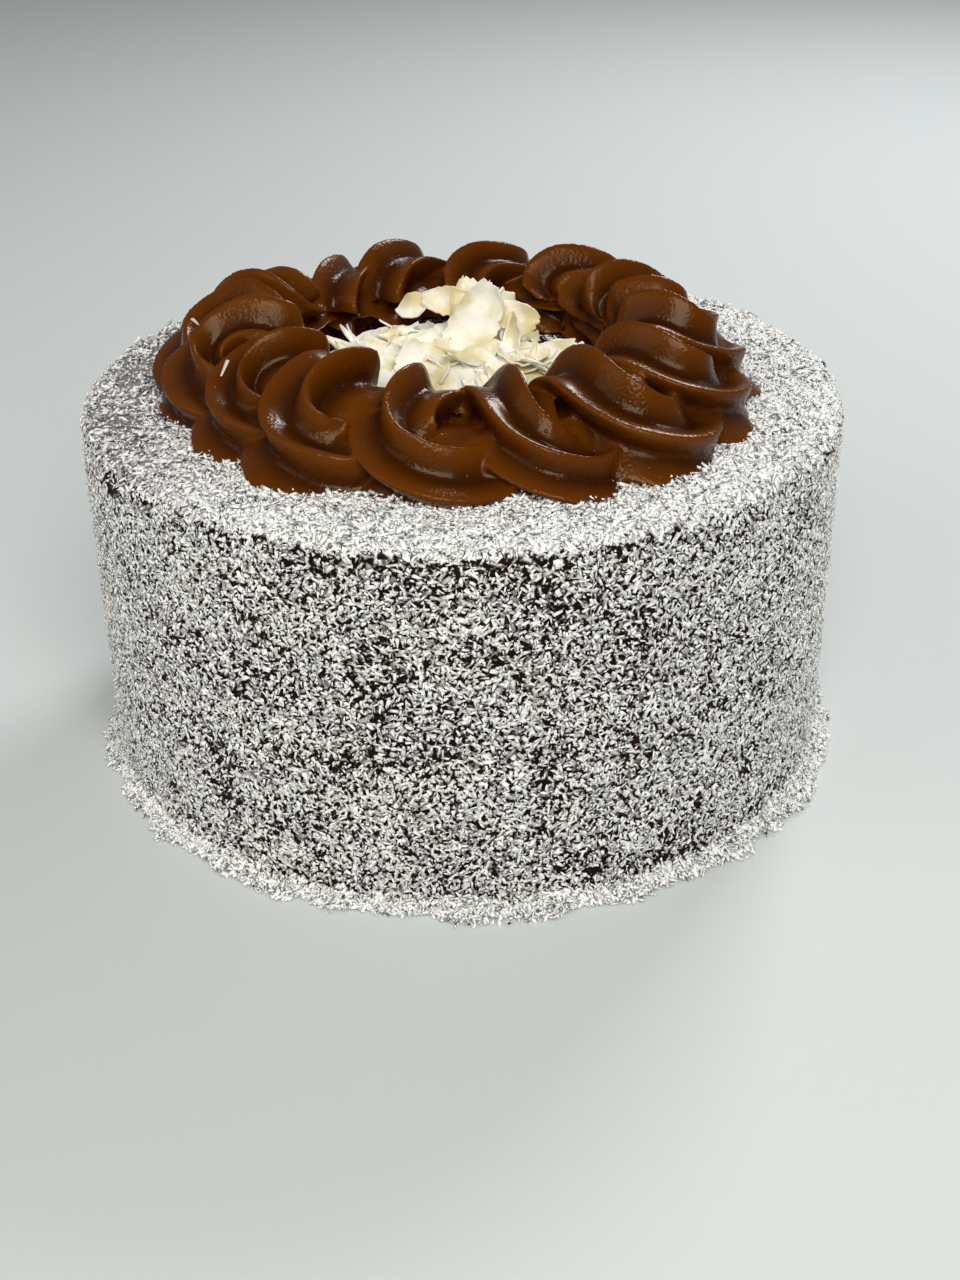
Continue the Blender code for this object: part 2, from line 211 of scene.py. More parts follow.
def packed_mask(tree, place):
    """1 where the coconut is packed thick: high up and far out on the top, and low at the foot; less on the
    left of the top, where the coat is thinner and the ground is painted darker as shade.
    """
    axes = add_node(tree, "ShaderNodeSeparateXYZ", "X", {"Vector": place}).node.outputs
    level = add_node(tree, "ShaderNodeCombineXYZ", "Vector", {"X": axes["X"], "Y": axes["Y"]})
    radius = add_node(tree, "ShaderNodeVectorMath", "Value", {0: level}, operation="LENGTH")
    ragged = add_node(tree, "ShaderNodeTexNoise", "Fac",
                      {"Vector": place, "Scale": 1000 / RAGGED_EDGE_MM, "Detail": 3.0})
    shift = add_node(tree, "ShaderNodeMath", "Value", {0: ragged, 1: 0.5}, operation="SUBTRACT")
    shift = add_node(tree, "ShaderNodeMath", "Value", {0: shift, 1: PACKED_RAGGED_MM * MM},
                     operation="MULTIPLY")
    height = add_node(tree, "ShaderNodeMath", "Value", {0: axes["Z"], 1: shift}, operation="ADD")
    # Each is 0 before its first place, 1 after its second, and a soft step between them
    high, wide, low, full = [
        add_node(tree, "ShaderNodeMapRange", "Result",
                 {"Value": value, "From Min": start * MM, "From Max": end * MM},
                 interpolation_type="SMOOTHSTEP")
        for value, (start, end) in ((height, PACKED_ABOVE), (radius, PACKED_RADIUS),
                                    (axes["Z"], PACKED_BELOW), (axes["X"], THIN_SHADED_SIDE[::-1]))]
    # On the left of the top the pale ground is painted darker: a thinner coat, and painted shade from the
    # ring.
    thick_and_lit = add_node(tree, "ShaderNodeMapRange", "Result", {"Value": full, "To Min": 1 - THIN_SHADED_PART})
    on_top = add_node(tree, "ShaderNodeMath", "Value", {0: high, 1: wide}, operation="MULTIPLY")
    on_top = add_node(tree, "ShaderNodeMath", "Value", {0: on_top, 1: thick_and_lit}, operation="MULTIPLY")
    return add_node(tree, "ShaderNodeMath", "Value", {0: on_top, 1: low}, operation="MAXIMUM")


def chocolate_material():
    material, tree, shader = new_material("dark_chocolate_icing", Roughness=0.6, IOR=CHOCOLATE_IOR,
                                          Specular_IOR_Level=0.1)
    place = add_node(tree, "ShaderNodeTexCoord", "Object")
    flecks = add_node(tree, "ShaderNodeTexNoise", "Fac",
                      {"Vector": place, "Scale": 1000 / FLECK_MM, "Detail": 1.0})
    packed = add_node(tree, "ShaderNodeMix", MIXED,
                      {FACTOR: flecks, FIRST: linear("d2d1ce"), SECOND: linear("fbfbf9")}, data_type="RGBA")
    colour = add_node(tree, "ShaderNodeMix", MIXED,
                      {FACTOR: packed_mask(tree, place), FIRST: icing_colour(tree, place, flecks),
                       SECOND: packed}, data_type="RGBA")
    tree.links.new(colour, shader.inputs["Base Color"])
    grain = add_node(tree, "ShaderNodeTexNoise", "Fac",
                     {"Vector": place, "Scale": 1000 / ICING_GRAIN_MM, "Detail": 2.0})
    bump = add_node(tree, "ShaderNodeBump", "Normal",
                    {"Height": grain, "Strength": 0.5, "Distance": 0.0003})
    tree.links.new(bump, shader.inputs["Normal"])
    return material


chocolate = chocolate_material()

# %% [markdown]
# ## Turn the profile
# The profile goes once round the upright axis, as on a potter's wheel. Icing under hand-pressed
# flakes is never smooth, so each corner is then pushed in or out a little by fractal noise,
# which has large and small bumps at once.

# %% Turn the profile and roughen it
CAKE_COLUMNS = 420
PROFILE_STEP = 1.4  # between rows of the mesh
ROWS_OVER_RIM = 18.0  # the rows go on this far in over the top
PLAIN_RADIUS = 60.0  # inside this radius the top is plain, under the ring and the chips
ICING_RELIEF = 0.25
ICING_BUMPS = 0.35  # large bumps in a millimetre
EVEN_BELOW = 0.5  # the foot stays flat up to this height


def cake_mesh():
    bm = bmesh.new()
    rows = np.arange(0, RIM_END + ROWS_OVER_RIM, PROFILE_STEP)
    radius, height, _, _ = on_profile(rows)
    outline = [(0.0, 0.0), *zip(radius.tolist(), height.tolist())]
    outline += [(PLAIN_RADIUS, CAKE_HEIGHT), (0.0, CAKE_HEIGHT)]
    verts = [bm.verts.new((x, 0, z)) for x, z in outline]
    edges = [bm.edges.new(pair) for pair in zip(verts, verts[1:])]
    bmesh.ops.spin(bm, geom=verts + edges, cent=(0, 0, 0), axis=(0, 0, 1), angle=FULL_TURN,
                   steps=CAKE_COLUMNS, use_merge=True)
    bmesh.ops.remove_doubles(bm, verts=bm.verts, dist=0.01)
    for vert in bm.verts:
        if vert.co.z < EVEN_BELOW:
            continue
        push = noise.fractal(vert.co * ICING_BUMPS, 0.6, 2.0, 3)
        out = Vector((0, 0, 1))
        if vert.co.z < CAKE_HEIGHT - 1:
            out = Vector((vert.co.x, vert.co.y, 0)).normalized()
        vert.co += out * push * ICING_RELIEF
    mesh = mesh_from(bm, "cake")
    mesh.shade_smooth()
    return mesh


cake = new_piece("chocolate_cake", cake_mesh(), chocolate)
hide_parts("cake_body")

# %% [markdown]
# ## One coconut flake, then thousands
# Dried coconut is grated into chunky, broken shreds about one to two millimetres long, and into
# crumbs. A shred is a tiny three-sided bar with eight faces and a crumb has four, because there
# are more than a hundred thousand of them, and each one's corners are moved a little at random.
# They could be instances in Geometry Nodes. Here the copies are worked out as arrays and stored
# as a few joined meshes, so that each flake can also carry its own shade.

# %% Kinds of flake
# How wide a flake's far end is, as a share of the near one, and how far it is twisted
SHRED_KINDS = ((0.85, 0.2), (0.6, -0.5), (0.4, 0.4), (0.7, 0.9), (0.95, -0.3))
CRUMB_KINDS = ((0.0, 0.0),)
CORNER_SHIFT = 0.35  # how far each corner is moved, as a share of the flake
FLAKE_THICKNESS = (0.25, 0.45)  # as a share of its width
LOWEST = 0.02  # no corner goes under this height


def flake_shapes(kinds):
    """Small bars of length 2 along X, as one array of corners for each, and their faces."""
    shapes = []
    for far_end, twist in kinds:
        bm = bmesh.new()
        bmesh.ops.create_cone(bm, cap_ends=True, segments=3, radius1=1, radius2=far_end, depth=2)
        for vert in bm.verts:
            vert.co = Matrix.Rotation(twist * vert.co.z, 3, "Z") @ vert.co
            vert.co = Vector((vert.co.z, vert.co.x, vert.co.y))
        bmesh.ops.triangulate(bm, faces=bm.faces)
        bmesh.ops.recalc_face_normals(bm, faces=bm.faces)
        shapes.append([vert.co[:] for vert in bm.verts])
        faces = [[vert.index for vert in face.verts] for face in bm.faces]
        bm.free()
    return np.array(shapes), np.array(faces)


shreds = flake_shapes(SHRED_KINDS)
crumbs = flake_shapes(CRUMB_KINDS)
print("a shred has", len(shreds[1]), "faces and a crumb", len(crumbs[1]))

# %% [markdown]
# ## Many flakes in one mesh
# A hundred thousand objects would make Blender crawl. numpy works on all flakes at once: it
# turns each one to lie across the direction that the coat faces, tilts it a little, and puts
# all the corners in one list, which the mesh takes whole.

# %% A mesh of many flakes


def unit(vectors):
    return vectors / (np.linalg.norm(vectors, axis=-1, keepdims=True) + 1e-12)


def lay_flakes(family, random, places, outward, lengths, widths, tilt):
    """Corners and faces of many flakes: each lies across its outward direction, more or less tilted."""
    shapes, faces = family
    count = len(places)
    up = unit(outward + random.normal(0, 1, (count, 3)) * tilt[:, None])
    along = unit(np.cross(up, random.normal(0, 1, (count, 3))))
    across = np.cross(up, along)
    size = np.stack([lengths / 2, widths / 2, widths * random.uniform(*FLAKE_THICKNESS, count)], -1)
    corners = shapes[random.integers(0, len(shapes), count)]
    corners = (corners + random.uniform(-CORNER_SHIFT, CORNER_SHIFT, corners.shape)) * size[:, None, :]
    points = places[:, None, :] + corners[..., 0:1] * along[:, None] + corners[..., 1:2] * across[:, None]
    points = points + corners[..., 2:3] * up[:, None]
    points[..., 2] = np.maximum(points[..., 2], LOWEST)
    return points, faces[None] + (np.arange(count) * points.shape[1])[:, None, None]


def joined_mesh(name, parts):
    """One mesh from the corners, faces and shades of several families of flakes."""
    points = np.concatenate([corners.reshape(-1, 3) for corners, _, _ in parts])
    starts = np.cumsum([0, *[corners.shape[0] * corners.shape[1] for corners, _, _ in parts]])
    sides = np.concatenate([(faces + start).ravel() for (_, faces, _), start in zip(parts, starts)])
    shades = np.concatenate([np.repeat(shade, corners.shape[1]) for corners, _, shade in parts])
    mesh = bpy.data.meshes.new(name)
    mesh.vertices.add(len(points))
    mesh.vertices.foreach_set("co", (points * MM).astype(np.float32).ravel())
    mesh.loops.add(len(sides))
    mesh.loops.foreach_set("vertex_index", sides.astype(np.int32))
    mesh.polygons.add(len(sides) // 3)
    mesh.polygons.foreach_set("loop_start", np.arange(0, len(sides), 3, dtype=np.int32))
    mesh.update(calc_edges=True)
    tone = mesh.attributes.new("shade", "FLOAT", "POINT")
    tone.data.foreach_set("value", shades.astype(np.float32))
    mesh.validate()
    return mesh


print("a flake is", FLAKE_THICKNESS[0], "to", FLAKE_THICKNESS[1], "times as thick as it is wide")

# %% [markdown]
# ## Dried coconut
# Dried coconut is white and matt. Where a flake lies flat on the icing it has drunk a little of
# it: it looks grey, and brown where it has drunk most. Each flake's own shade, from 0 to 1,
# picks a colour from brown over grey to white.

# %% The coconut material
FLAKE_BROWN = "5a3f33"
SOAKED_BROWN = 0.4  # flakes with a lower shade than this turn brown
FLAKE_GREY = "827a76"
FLAKE_WHITE = "fbfbf8"


def flake_material():
    material, tree, shader = new_material("dried_coconut", Roughness=0.6, IOR=1.45)
    shade = add_node(tree, "ShaderNodeAttribute", "Fac", attribute_name="shade")
    dry = add_node(tree, "ShaderNodeMapRange", "Result", {"Value": shade, "From Max": SOAKED_BROWN},
                   interpolation_type="SMOOTHSTEP")
    soaked = add_node(tree, "ShaderNodeMix", MIXED,
                      {FACTOR: dry, FIRST: linear(FLAKE_BROWN), SECOND: linear(FLAKE_GREY)}, data_type="RGBA")
    colour = add_node(tree, "ShaderNodeMix", MIXED,
                      {FACTOR: shade, FIRST: soaked, SECOND: linear(FLAKE_WHITE)}, data_type="RGBA")
    tree.links.new(colour, shader.inputs["Base Color"])
    return material


coconut = flake_material()

# %% [markdown]
# ## Where the flakes lie
# The coat was made by pressing flakes on by hand, so it is uneven. The wall has thin patches
# under the rim and near the foot, and flakes lie loose and deep on the rim and on the top.
# Places drawn quite at random would lie in heaps and leave holes. So they start in even rows,
# each is moved a little at random, and it is kept with a chance equal to the cover wanted there.

# %% Draw places on the coat
FLAKE_SEED = 5
SCATTER = 1.1  # how far a flake may lie from its place in an even row, as a share of the spacing
NOISE_SHIFT = (31.7, 17.3, 7.1)  # moves each seed's noise to a place of its own
random = np.random.default_rng(FLAKE_SEED)


def patchy(points, size, seed):
    """Slow noise from about -1 to 1 at each point."""
    shift = Vector([seed * part for part in NOISE_SHIFT])
    return np.array([noise.noise(Vector(point) / size + shift) for point in points]) * 2


def draw_places(start, end, per_mm2, cover):
    """Places between two distances along the profile, and their outward directions."""
    spacing = per_mm2 ** -0.5
    rows = np.arange(start + spacing / 2, end, spacing)
    counts = np.maximum(FULL_TURN * on_profile(rows)[0] / spacing, 1).astype(int)
    along = np.repeat(rows, counts)
    angle = np.concatenate([FULL_TURN * (np.arange(count) + random.uniform()) / count for count in counts])
    angle += random.uniform(-0.5, 0.5, len(angle)) * SCATTER * FULL_TURN / np.repeat(counts, counts)
    along += random.uniform(-0.5, 0.5, len(along)) * SCATTER * spacing
    angle = (angle + math.pi) % FULL_TURN - math.pi
    radius, height, outward, upward = on_profile(along)
    places = np.stack([radius * np.cos(angle), radius * np.sin(angle), height], -1)
    directions = np.stack([outward * np.cos(angle), outward * np.sin(angle), upward], -1)
    keep = random.uniform(0, 1, len(places)) < cover(places)
    return places[keep], directions[keep]


# %% How thick the coat is on the wall
WALL_COVER = 0.84
WALL_UNEVEN = 0.2  # how much the cover changes, over large patches and again over small ones
LARGE_PATCH = 14.0
SMALL_PATCH = 4.0
LEAST_COVER = 0.08
# Where the coat is rubbed thin: angle in degrees, height, and half its width in degrees and
# half its height
BARE_PATCHES = (
    (-95, 95.5, 30, 2.0),
    (-150, 94, 14, 2.0),
    (-20, 95, 12, 1.8),
    (60, 95, 25, 2.0),
    (150, 95, 18, 2.2),
    (-115, 5, 6, 2.2),
    (-48, 7, 12, 3.2),
    (20, 5.5, 9, 2.5),
    (130, 6.5, 12, 3.0),
)
BARE = 0.36  # how much of the cover is missing in the middle of a patch
BARE_SOAKED = 0.45  # how much more of the icing's colour the flakes there have drunk
BARE_RAGGED = 0.5  # how uneven the patches are, and the size of that unevenness
BARE_RAGGED_MM = 7.0


def bareness(places):
    """About 1 in the middle of a bare patch, with ragged edges, and 0 far from all of them."""
    angle = np.degrees(np.arctan2(places[:, 1], places[:, 0]))
    total = np.zeros(len(places))
    for middle, height, half_width, half_height in BARE_PATCHES:
        turn = np.abs((angle - middle + 180) % 360 - 180)
        total += np.exp(-(turn / half_width) ** 2 - ((places[:, 2] - height) / half_height) ** 2)
    return total * (1 + BARE_RAGGED * patchy(places, BARE_RAGGED_MM, 3))


def wall_cover(places):
    """Thicker and thinner at random, and thin in the bare patches."""
    cover = WALL_COVER + WALL_UNEVEN * patchy(places, LARGE_PATCH, 1)
    cover = cover + WALL_UNEVEN * patchy(places, SMALL_PATCH, 2)
    return np.clip(cover - BARE * bareness(places), LEAST_COVER, 1)


print("the wall has", len(BARE_PATCHES), "thin patches")

# %% Layers of flakes
# A layer of flakes: kind, shortest and longest, narrowest and widest, how far they are lifted
# off the icing, how far they tilt, and how much of the icing's colour they may have drunk
FLAT_FLAKES = (shreds, (1.2, 2.3), (0.9, 1.5), (0.0, 0.2), (0.03, 0.18), 0.95)
LOOSE_FLAKES = (shreds, (0.9, 2.0), (0.5, 0.9), (0.3, 0.8), (0.1, 0.45), 0.4)
FINE_CRUMBS = (crumbs, (0.7, 1.4), (0.6, 1.0), (0.2, 0.8), (0.1, 0.6), 0.6)
PACKED_FLAKES = (shreds, (1.0, 2.3), (0.8, 1.4), (0.1, 0.9), (0.03, 0.35), 0.12)
PACKED_CRUMBS = (crumbs, (0.7, 1.4), (0.7, 1.2), (0.3, 1.1), (0.1, 0.6), 0.12)
CLUMPED_FLAKES = (shreds, (1.2, 2.8), (0.8, 1.5), (0.4, 1.9), (0.1, 0.6), 0.1)
SOAKING = (0.8, 2.0)  # the shape of the beta curve: most flakes have drunk little, a few a lot


def layer(kind, places, directions, more_soaked=0):
    """The corners, faces and shades of one layer of flakes at those places."""
    family, lengths, widths, lift, tilt, soaked = kind
    count = len(places)
    places = places + directions * random.uniform(*lift, count)[:, None]
    corners, faces = lay_flakes(family, random, places, directions, random.uniform(*lengths, count),
                                random.uniform(*widths, count), random.uniform(*tilt, count))
    soaked = np.clip(soaked + more_soaked, 0, 1)
    return corners, faces, 1 - soaked * random.beta(*SOAKING, count)


def flake_piece(name, layers):
    print(name, "joins", sum(len(corners) for corners, _, _ in layers), "flakes")
    return new_piece(name, joined_mesh(name, layers), coconut)


# %% [markdown]
# ## Flakes on the wall
# The wall gets three layers: flat flakes that stick to the icing, looser ones on them, and
# crumbs between. One mesh of them all would pass 200,000 triangles, which makes a heavy file,
# so the wall is cut into four strips round the cake.

# %% Flakes on the wall, in four strips
# How many flakes of each kind are drawn for each square millimetre
WALL_LAYERS = ((FLAT_FLAKES, 0.5), (LOOSE_FLAKES, 0.42), (FINE_CRUMBS, 0.4))
WALL_STRIPS = 4
WALL_START = 1.5  # along the profile
WALL_OVER_RIM = 3.2  # how far past its own end the wall's coat goes on
strips = [[] for _ in range(WALL_STRIPS)]
for kind, per_mm2 in WALL_LAYERS:
    places, directions = draw_places(WALL_START, WALL_END + WALL_OVER_RIM, per_mm2, wall_cover)
    strip = (np.arctan2(places[:, 1], places[:, 0]) / FULL_TURN + 0.5) * WALL_STRIPS
    strip = np.floor(strip).clip(0, WALL_STRIPS - 1)
    for number in range(WALL_STRIPS):
        inside = strip == number
        more_soaked = BARE_SOAKED * bareness(places[inside])
        strips[number].append(layer(kind, places[inside], directions[inside], more_soaked))
for number, layers in enumerate(strips, 1):
    flake_piece(f"flakes_wall_{number}", layers)

# %% [markdown]
# ## Flakes on the rim and the top
# Here the coconut is packed, with clumps that stand up and cast small shadows. It stops where
# the ring lies. On the left it is thinner, so the icing shows through it, and its flakes are
# painted darker there as a painted shade from the ring. Its lower edge on the rim is ragged,
# so that no line shows where one coat ends and the next begins.

# %% Flakes on the rim and the top
RIM_LAYERS = ((PACKED_FLAKES, 1.1), (PACKED_CRUMBS, 1.1))
TOP_LAYERS = ((PACKED_FLAKES, 0.9), (PACKED_CRUMBS, 0.9))
CLUMP_LAYERS = ((CLUMPED_FLAKES, 0.9),)
CLUMP_SIZE = 4.5
CLUMP_COVER = 0.25
CLUMP_CONTRAST = 1.2  # how much that cover changes from clump to gap
RIM_EDGE = 2.0  # how far above the wall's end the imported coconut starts
RIM_RAGGED = 1.2  # how far that edge runs up and down, and the length of its waves
RIM_RAGGED_MM = 5.0
RING_CENTRE = (0.0, 4.0)
RING_FOOT = 76.0  # the ring covers the top this far from its own middle
LEFT_SOAK_AND_SHADE = 0.9  # how much darker flakes are painted where the top's coat is thin: soaked, and painted shade from the ring


def thinness_and_shade(places):
    """From 0 to 1 to the left, where the top's coat gets thinner and is painted darker as shade."""
    return np.clip((places[:, 0] - THIN_SHADED_SIDE[0]) / (THIN_SHADED_SIDE[1] - THIN_SHADED_SIDE[0]), 0, 1)


def rim_cover(places):
    """Full, but with a ragged lower edge, and thinner on the thin side."""
    edge = WALL_TOP + RIM_EDGE + RIM_RAGGED * patchy(places, RIM_RAGGED_MM, 5)
    return (places[:, 2] > edge) * (1 - THIN_SHADED_PART * thinness_and_shade(places))


def top_cover(places):
    outside = np.hypot(places[:, 0] - RING_CENTRE[0], places[:, 1] - RING_CENTRE[1]) > RING_FOOT
    return outside * (1 - THIN_SHADED_PART * thinness_and_shade(places))


def clump_cover(places):
    """Clumps of flakes lie on the rim and the top, with gaps between them."""
    clumps = CLUMP_COVER + CLUMP_CONTRAST * patchy(places, CLUMP_SIZE, 6)
    return top_cover(places) * np.clip(clumps, 0, 1)


TOP_END = RIM_END + 28
# Each piece: its layers, where it starts and ends along the profile, and its cover
TOP_PIECES = {
    "flakes_rim": (RIM_LAYERS, WALL_END + 0.8, RIM_END + 2.5, rim_cover),
    "flakes_top": (TOP_LAYERS, RIM_END + 2, TOP_END, top_cover),
    "flakes_clumps": (CLUMP_LAYERS, WALL_END + 2.5, TOP_END, clump_cover),
}
for name, (layers, start, end, cover) in TOP_PIECES.items():
    made = []
    for kind, per_mm2 in layers:
        places, directions = draw_places(start, end, per_mm2, cover)
        # Flakes on the left are painted darker: soaked, and painted shade from the ring.
        made.append(layer(kind, places, directions, LEFT_SOAK_AND_SHADE * thinness_and_shade(places)))
    flake_piece(name, made)

# %% [markdown]
# ## Flakes in the hole and round the foot
# Flakes that fell lie in the middle of the ring, under the chips, and in a low bank round the
# foot, which is deep at the wall and thins out from it. A beta curve draws them so: many near
# the wall and few far out. Noise lets the bank reach further at some places than at others.

# %% Flakes in the ring's hole and round the foot
HOLE_FLAKES = 3000
HOLE_FLOOR = 41.0  # radius of the open middle of the ring
FOOT_FLAKES = 6500
FOOT_CRUMBS = 8500
FOOT_START = 0.3  # the bank starts this far outside the wall's foot, and as far above the table
FOOT_REACH = 6.2
FOOT_FALL = (1.1, 2.6)  # the shape of the beta curve
FOOT_DEPTH = 4.0  # at the wall
FOOT_HOLLOW = 1.5  # above 1, the bank's slope is hollow
FOOT_EVEN = 0.85  # the usual share of the reach, how much it changes, and over what length
FOOT_UNEVEN = 0.35
FOOT_PATCH = 9.0
FOOT_LIMITS = (0.3, 1.3)  # the least and the greatest share


def hole_places(count):
    """Places drawn over the cake's top in the ring's hole."""
    angle = random.uniform(0, FULL_TURN, count)
    radius = HOLE_FLOOR * np.sqrt(random.uniform(0, 1, count))
    places = np.stack([RING_CENTRE[0] + radius * np.cos(angle), RING_CENTRE[1] + radius * np.sin(angle),
                       np.full(count, CAKE_HEIGHT)], -1)
    return places, np.tile([0.0, 0.0, 1.0], (count, 1))


def foot_places(count):
    """Places in the low bank of loose flakes round the foot."""
    angle = random.uniform(0, FULL_TURN, count)
    out = random.beta(*FOOT_FALL, count)
    round_foot = np.stack([CAKE_RADIUS * np.cos(angle), CAKE_RADIUS * np.sin(angle), np.zeros(count)], -1)
    reach = FOOT_REACH * np.clip(FOOT_EVEN + FOOT_UNEVEN * patchy(round_foot, FOOT_PATCH, 7), *FOOT_LIMITS)
    radius = CAKE_RADIUS - WALL_LEAN + FOOT_START + reach * out
    height = FOOT_START + random.uniform(0, 1, count) * FOOT_DEPTH * (1 - out) ** FOOT_HOLLOW
    places = np.stack([radius * np.cos(angle), radius * np.sin(angle), height], -1)
    return places, unit(np.stack([0.5 * np.cos(angle), 0.5 * np.sin(angle), np.ones(count)], -1))


flake_piece("flakes_hole", [layer(LOOSE_FLAKES, *hole_places(HOLE_FLAKES))])
flake_piece("flakes_foot", [layer(PACKED_FLAKES, *foot_places(FOOT_FLAKES)),
                            layer(PACKED_CRUMBS, *foot_places(FOOT_CRUMBS))])

# %% [markdown]
# ## The piped ring
# The ring is one strand of soft caramel cream, pressed through a star nozzle that went round the
# cake in small loops. Each loop's near side lies on the loop before it. Sculpting would give
# the look of one photograph only, so the strand is made the way it was piped: a star-shaped
# section is carried along a looping path, its ribs roll as the path turns, and the soft cream
# settles at the bottom. The path and the section are those of the plain solid, in finer steps.

# %% The path of the nozzle
RING_FLOOR = 99.9
STRAND_CORE = 7.0  # radius in the valleys between the ribs
RIB_HEIGHT = 6.2
RIB_COUNT = 6
RIB_SHARPNESS = 1.1
RIB_ROUNDING = 0.1  # of the crests of the ribs
RIB_TURN = 0.1  # where the ribs sit on the strand, in radians
AXIS_HEIGHT = 6.4  # of the strand's axis above the cake
CLIMB = 5.0  # each loop's near side lies on the loop before it
LOOP_TILT = 3.2  # the loops are higher at the hole than outside
LOOP_ALONG = 4.0  # half the width of a loop along the ring
LOOP_POINT = 0.3  # how much narrower than that it is at the hole, and wider at its outer side
LEAN_ALONG = 10.0  # moves each loop along the ring so that its crest sits at the stated angle
CREST_PHASE = 0.66  # part of a loop at which its crest is reached
CREST_THINNING = 0.1  # the strand is this much thinner at a loop's outer side
CREST_WINDOW = 0.75  # the crests' angles are smoothed over this share of a loop
TAPER = 0.12  # the strand thickens and ends over this part of a loop
# How unevenly the cream was piped: the size of the slow changes in each measure
MIDDLE_WANDER = 0.5
REACH_WANDER = 0.06
ALONG_WANDER = 0.1
LIFT_WANDER = 0.5
ROLL_WANDER = 0.25
SWELL_WANDER = 0.05
RIB_WANDER = 0.12
SWELL_SPACING = 0.7  # loops between two random values of the strand's thickness
RIB_SPACING = 0.5  # and of its ribs' height
# Each loop: angle of its crest in degrees, radius of its middle, its reach in and out, its lift,
# and how far its crest lies ahead of its outer side
LOOPS = (
    (108, 61.0, 7.0, -5.0, 10.0),
    (126, 61.0, 7.0, -5.0, 12.0),
    (150, 64.0, 8.0, -2.0, 2.0),
    (165, 63.0, 8.4, -1.0, 3.0),
    (187, 60.0, 8.8, 0.0, 3.5),
    (208, 59.0, 8.8, -0.5, 3.5),
    (229, 59.5, 9.2, -1.0, 3.5),
    (252, 60.0, 9.7, -1.5, 3.5),
    (276, 61.5, 10.5, -1.5, 2.0),
    (297, 63.5, 10.5, -1.0, 1.0),
    (319, 61.5, 10.0, 0.0, 1.5),
    (341, 57.5, 8.8, 0.0, 3.0),
    (364, 55.0, 8.4, -2.0, 3.0),
    (389, 57.0, 8.4, -4.0, 2.5),
    (415, 61.0, 7.0, -5.0, 10.0),
    (442, 61.0, 7.0, -5.0, 10.0),
    (464, 61.0, 7.0, -5.0, 10.0),
)
STRAND_STEPS = 60  # for each loop
STRAND_SIDES = 96
RING_SEED = 12


def ease(places, table):
    """The table's value at each place, with soft steps from one entry to the next."""
    table = np.asarray(table, float)
    index = np.clip(np.floor(places).astype(int), 0, len(table) - 2)
    part = np.clip(places - index, 0, 1)
    part = part * part * (3 - 2 * part)
    return table[index] * (1 - part) + table[index + 1] * part


def wander(random, turns, amount, spacing=1.0):
    """A slow random change along the strand: piping by hand is never even."""
    knots = random.normal(0, amount, int(turns[-1] / spacing) + 4)
    return ease(turns / spacing + 1, knots)


def strand_points(steps, sides):
    """The piped strand: a row of points round it at each step, in lines that follow its ribs."""
    loops = np.array(LOOPS, float)
    turns = np.linspace(0, len(loops) - 1, (len(loops) - 1) * steps + 1)
    phase = FULL_TURN * turns
    place = turns - CREST_PHASE
    random = np.random.default_rng(RING_SEED)
    crest = np.radians(np.interp(place, np.arange(-1, len(loops)),
                                 [2 * loops[0, 0] - loops[1, 0], *loops[:, 0]]))
    window = np.hanning(int(CREST_WINDOW * steps))
    crest = np.convolve(np.pad(crest, len(window) // 2, mode="edge"), window / window.sum(), "same")
    crest = crest[len(window) // 2:][:len(turns)]
    middle = ease(place, loops[:, 1]) + wander(random, turns, MIDDLE_WANDER)
    reach = ease(place, loops[:, 2]) * (1 + wander(random, turns, REACH_WANDER))
    along = LOOP_ALONG * (1 + wander(random, turns, ALONG_WANDER)) * np.sin(phase)
    along *= 1 + LOOP_POINT * np.cos(phase)
    along += LEAN_ALONG - ease(place, loops[:, 4]) * (1 + np.cos(phase))
    radius = middle + reach * np.cos(phase)
    angle = crest + along / middle
    lift = ease(place, loops[:, 3]) + wander(random, turns, LIFT_WANDER)
    height = RING_FLOOR + AXIS_HEIGHT - CLIMB * np.sin(phase) - LOOP_TILT * np.cos(phase) + lift
    axis = np.stack([RING_CENTRE[0] + radius * np.cos(angle),
                     RING_CENTRE[1] + radius * np.sin(angle), height], -1)
    ahead = np.gradient(axis, axis=0)
    ahead /= np.linalg.norm(ahead, axis=1)[:, None]
    over = np.array([0, 0, 1.0]) - ahead[:, 2:3] * ahead
    over /= np.linalg.norm(over, axis=1)[:, None]
    aside = np.cross(ahead, over)
    rib = np.linspace(0, FULL_TURN, sides, endpoint=False)
    turned = RIB_TURN + wander(random, turns, ROLL_WANDER)
    roll = rib[None, :] - turned[:, None]
    valley = np.sqrt(np.sin(RIB_COUNT * rib / 2) ** 2 + RIB_ROUNDING ** 2) - RIB_ROUNDING
    ridge = np.clip(1 - valley, 0, 1) ** RIB_SHARPNESS
    swell = 1 - CREST_THINNING * np.cos(phase) + wander(random, turns, SWELL_WANDER, SWELL_SPACING)
    swell *= np.sqrt(np.clip(np.minimum(turns, turns[-1] - turns) / TAPER + 0.05, 0, 1))
    ribs = RIB_HEIGHT * (1 + wander(random, turns, RIB_WANDER, RIB_SPACING))
    section = (STRAND_CORE + ribs[:, None] * ridge[None, :]) * swell[:, None]
    return (axis[:, None, :] + (section * np.cos(roll))[..., None] * over[:, None, :]
            + (section * np.sin(roll))[..., None] * aside[:, None, :])


print("the path has", len(LOOPS), "crests")

# %% [markdown]
# ## Soft cream settles
# Cream slumps under its own weight. What would reach below the cake's top lies flat on it, the
# outer side spreads, and the middle stays open. The strand is a grid that is rolled up into a
# tube, because a grid's rows and columns give each corner its step and its side. Cream also
# fills the space under the loops, which is the lower half of a ring shape here.

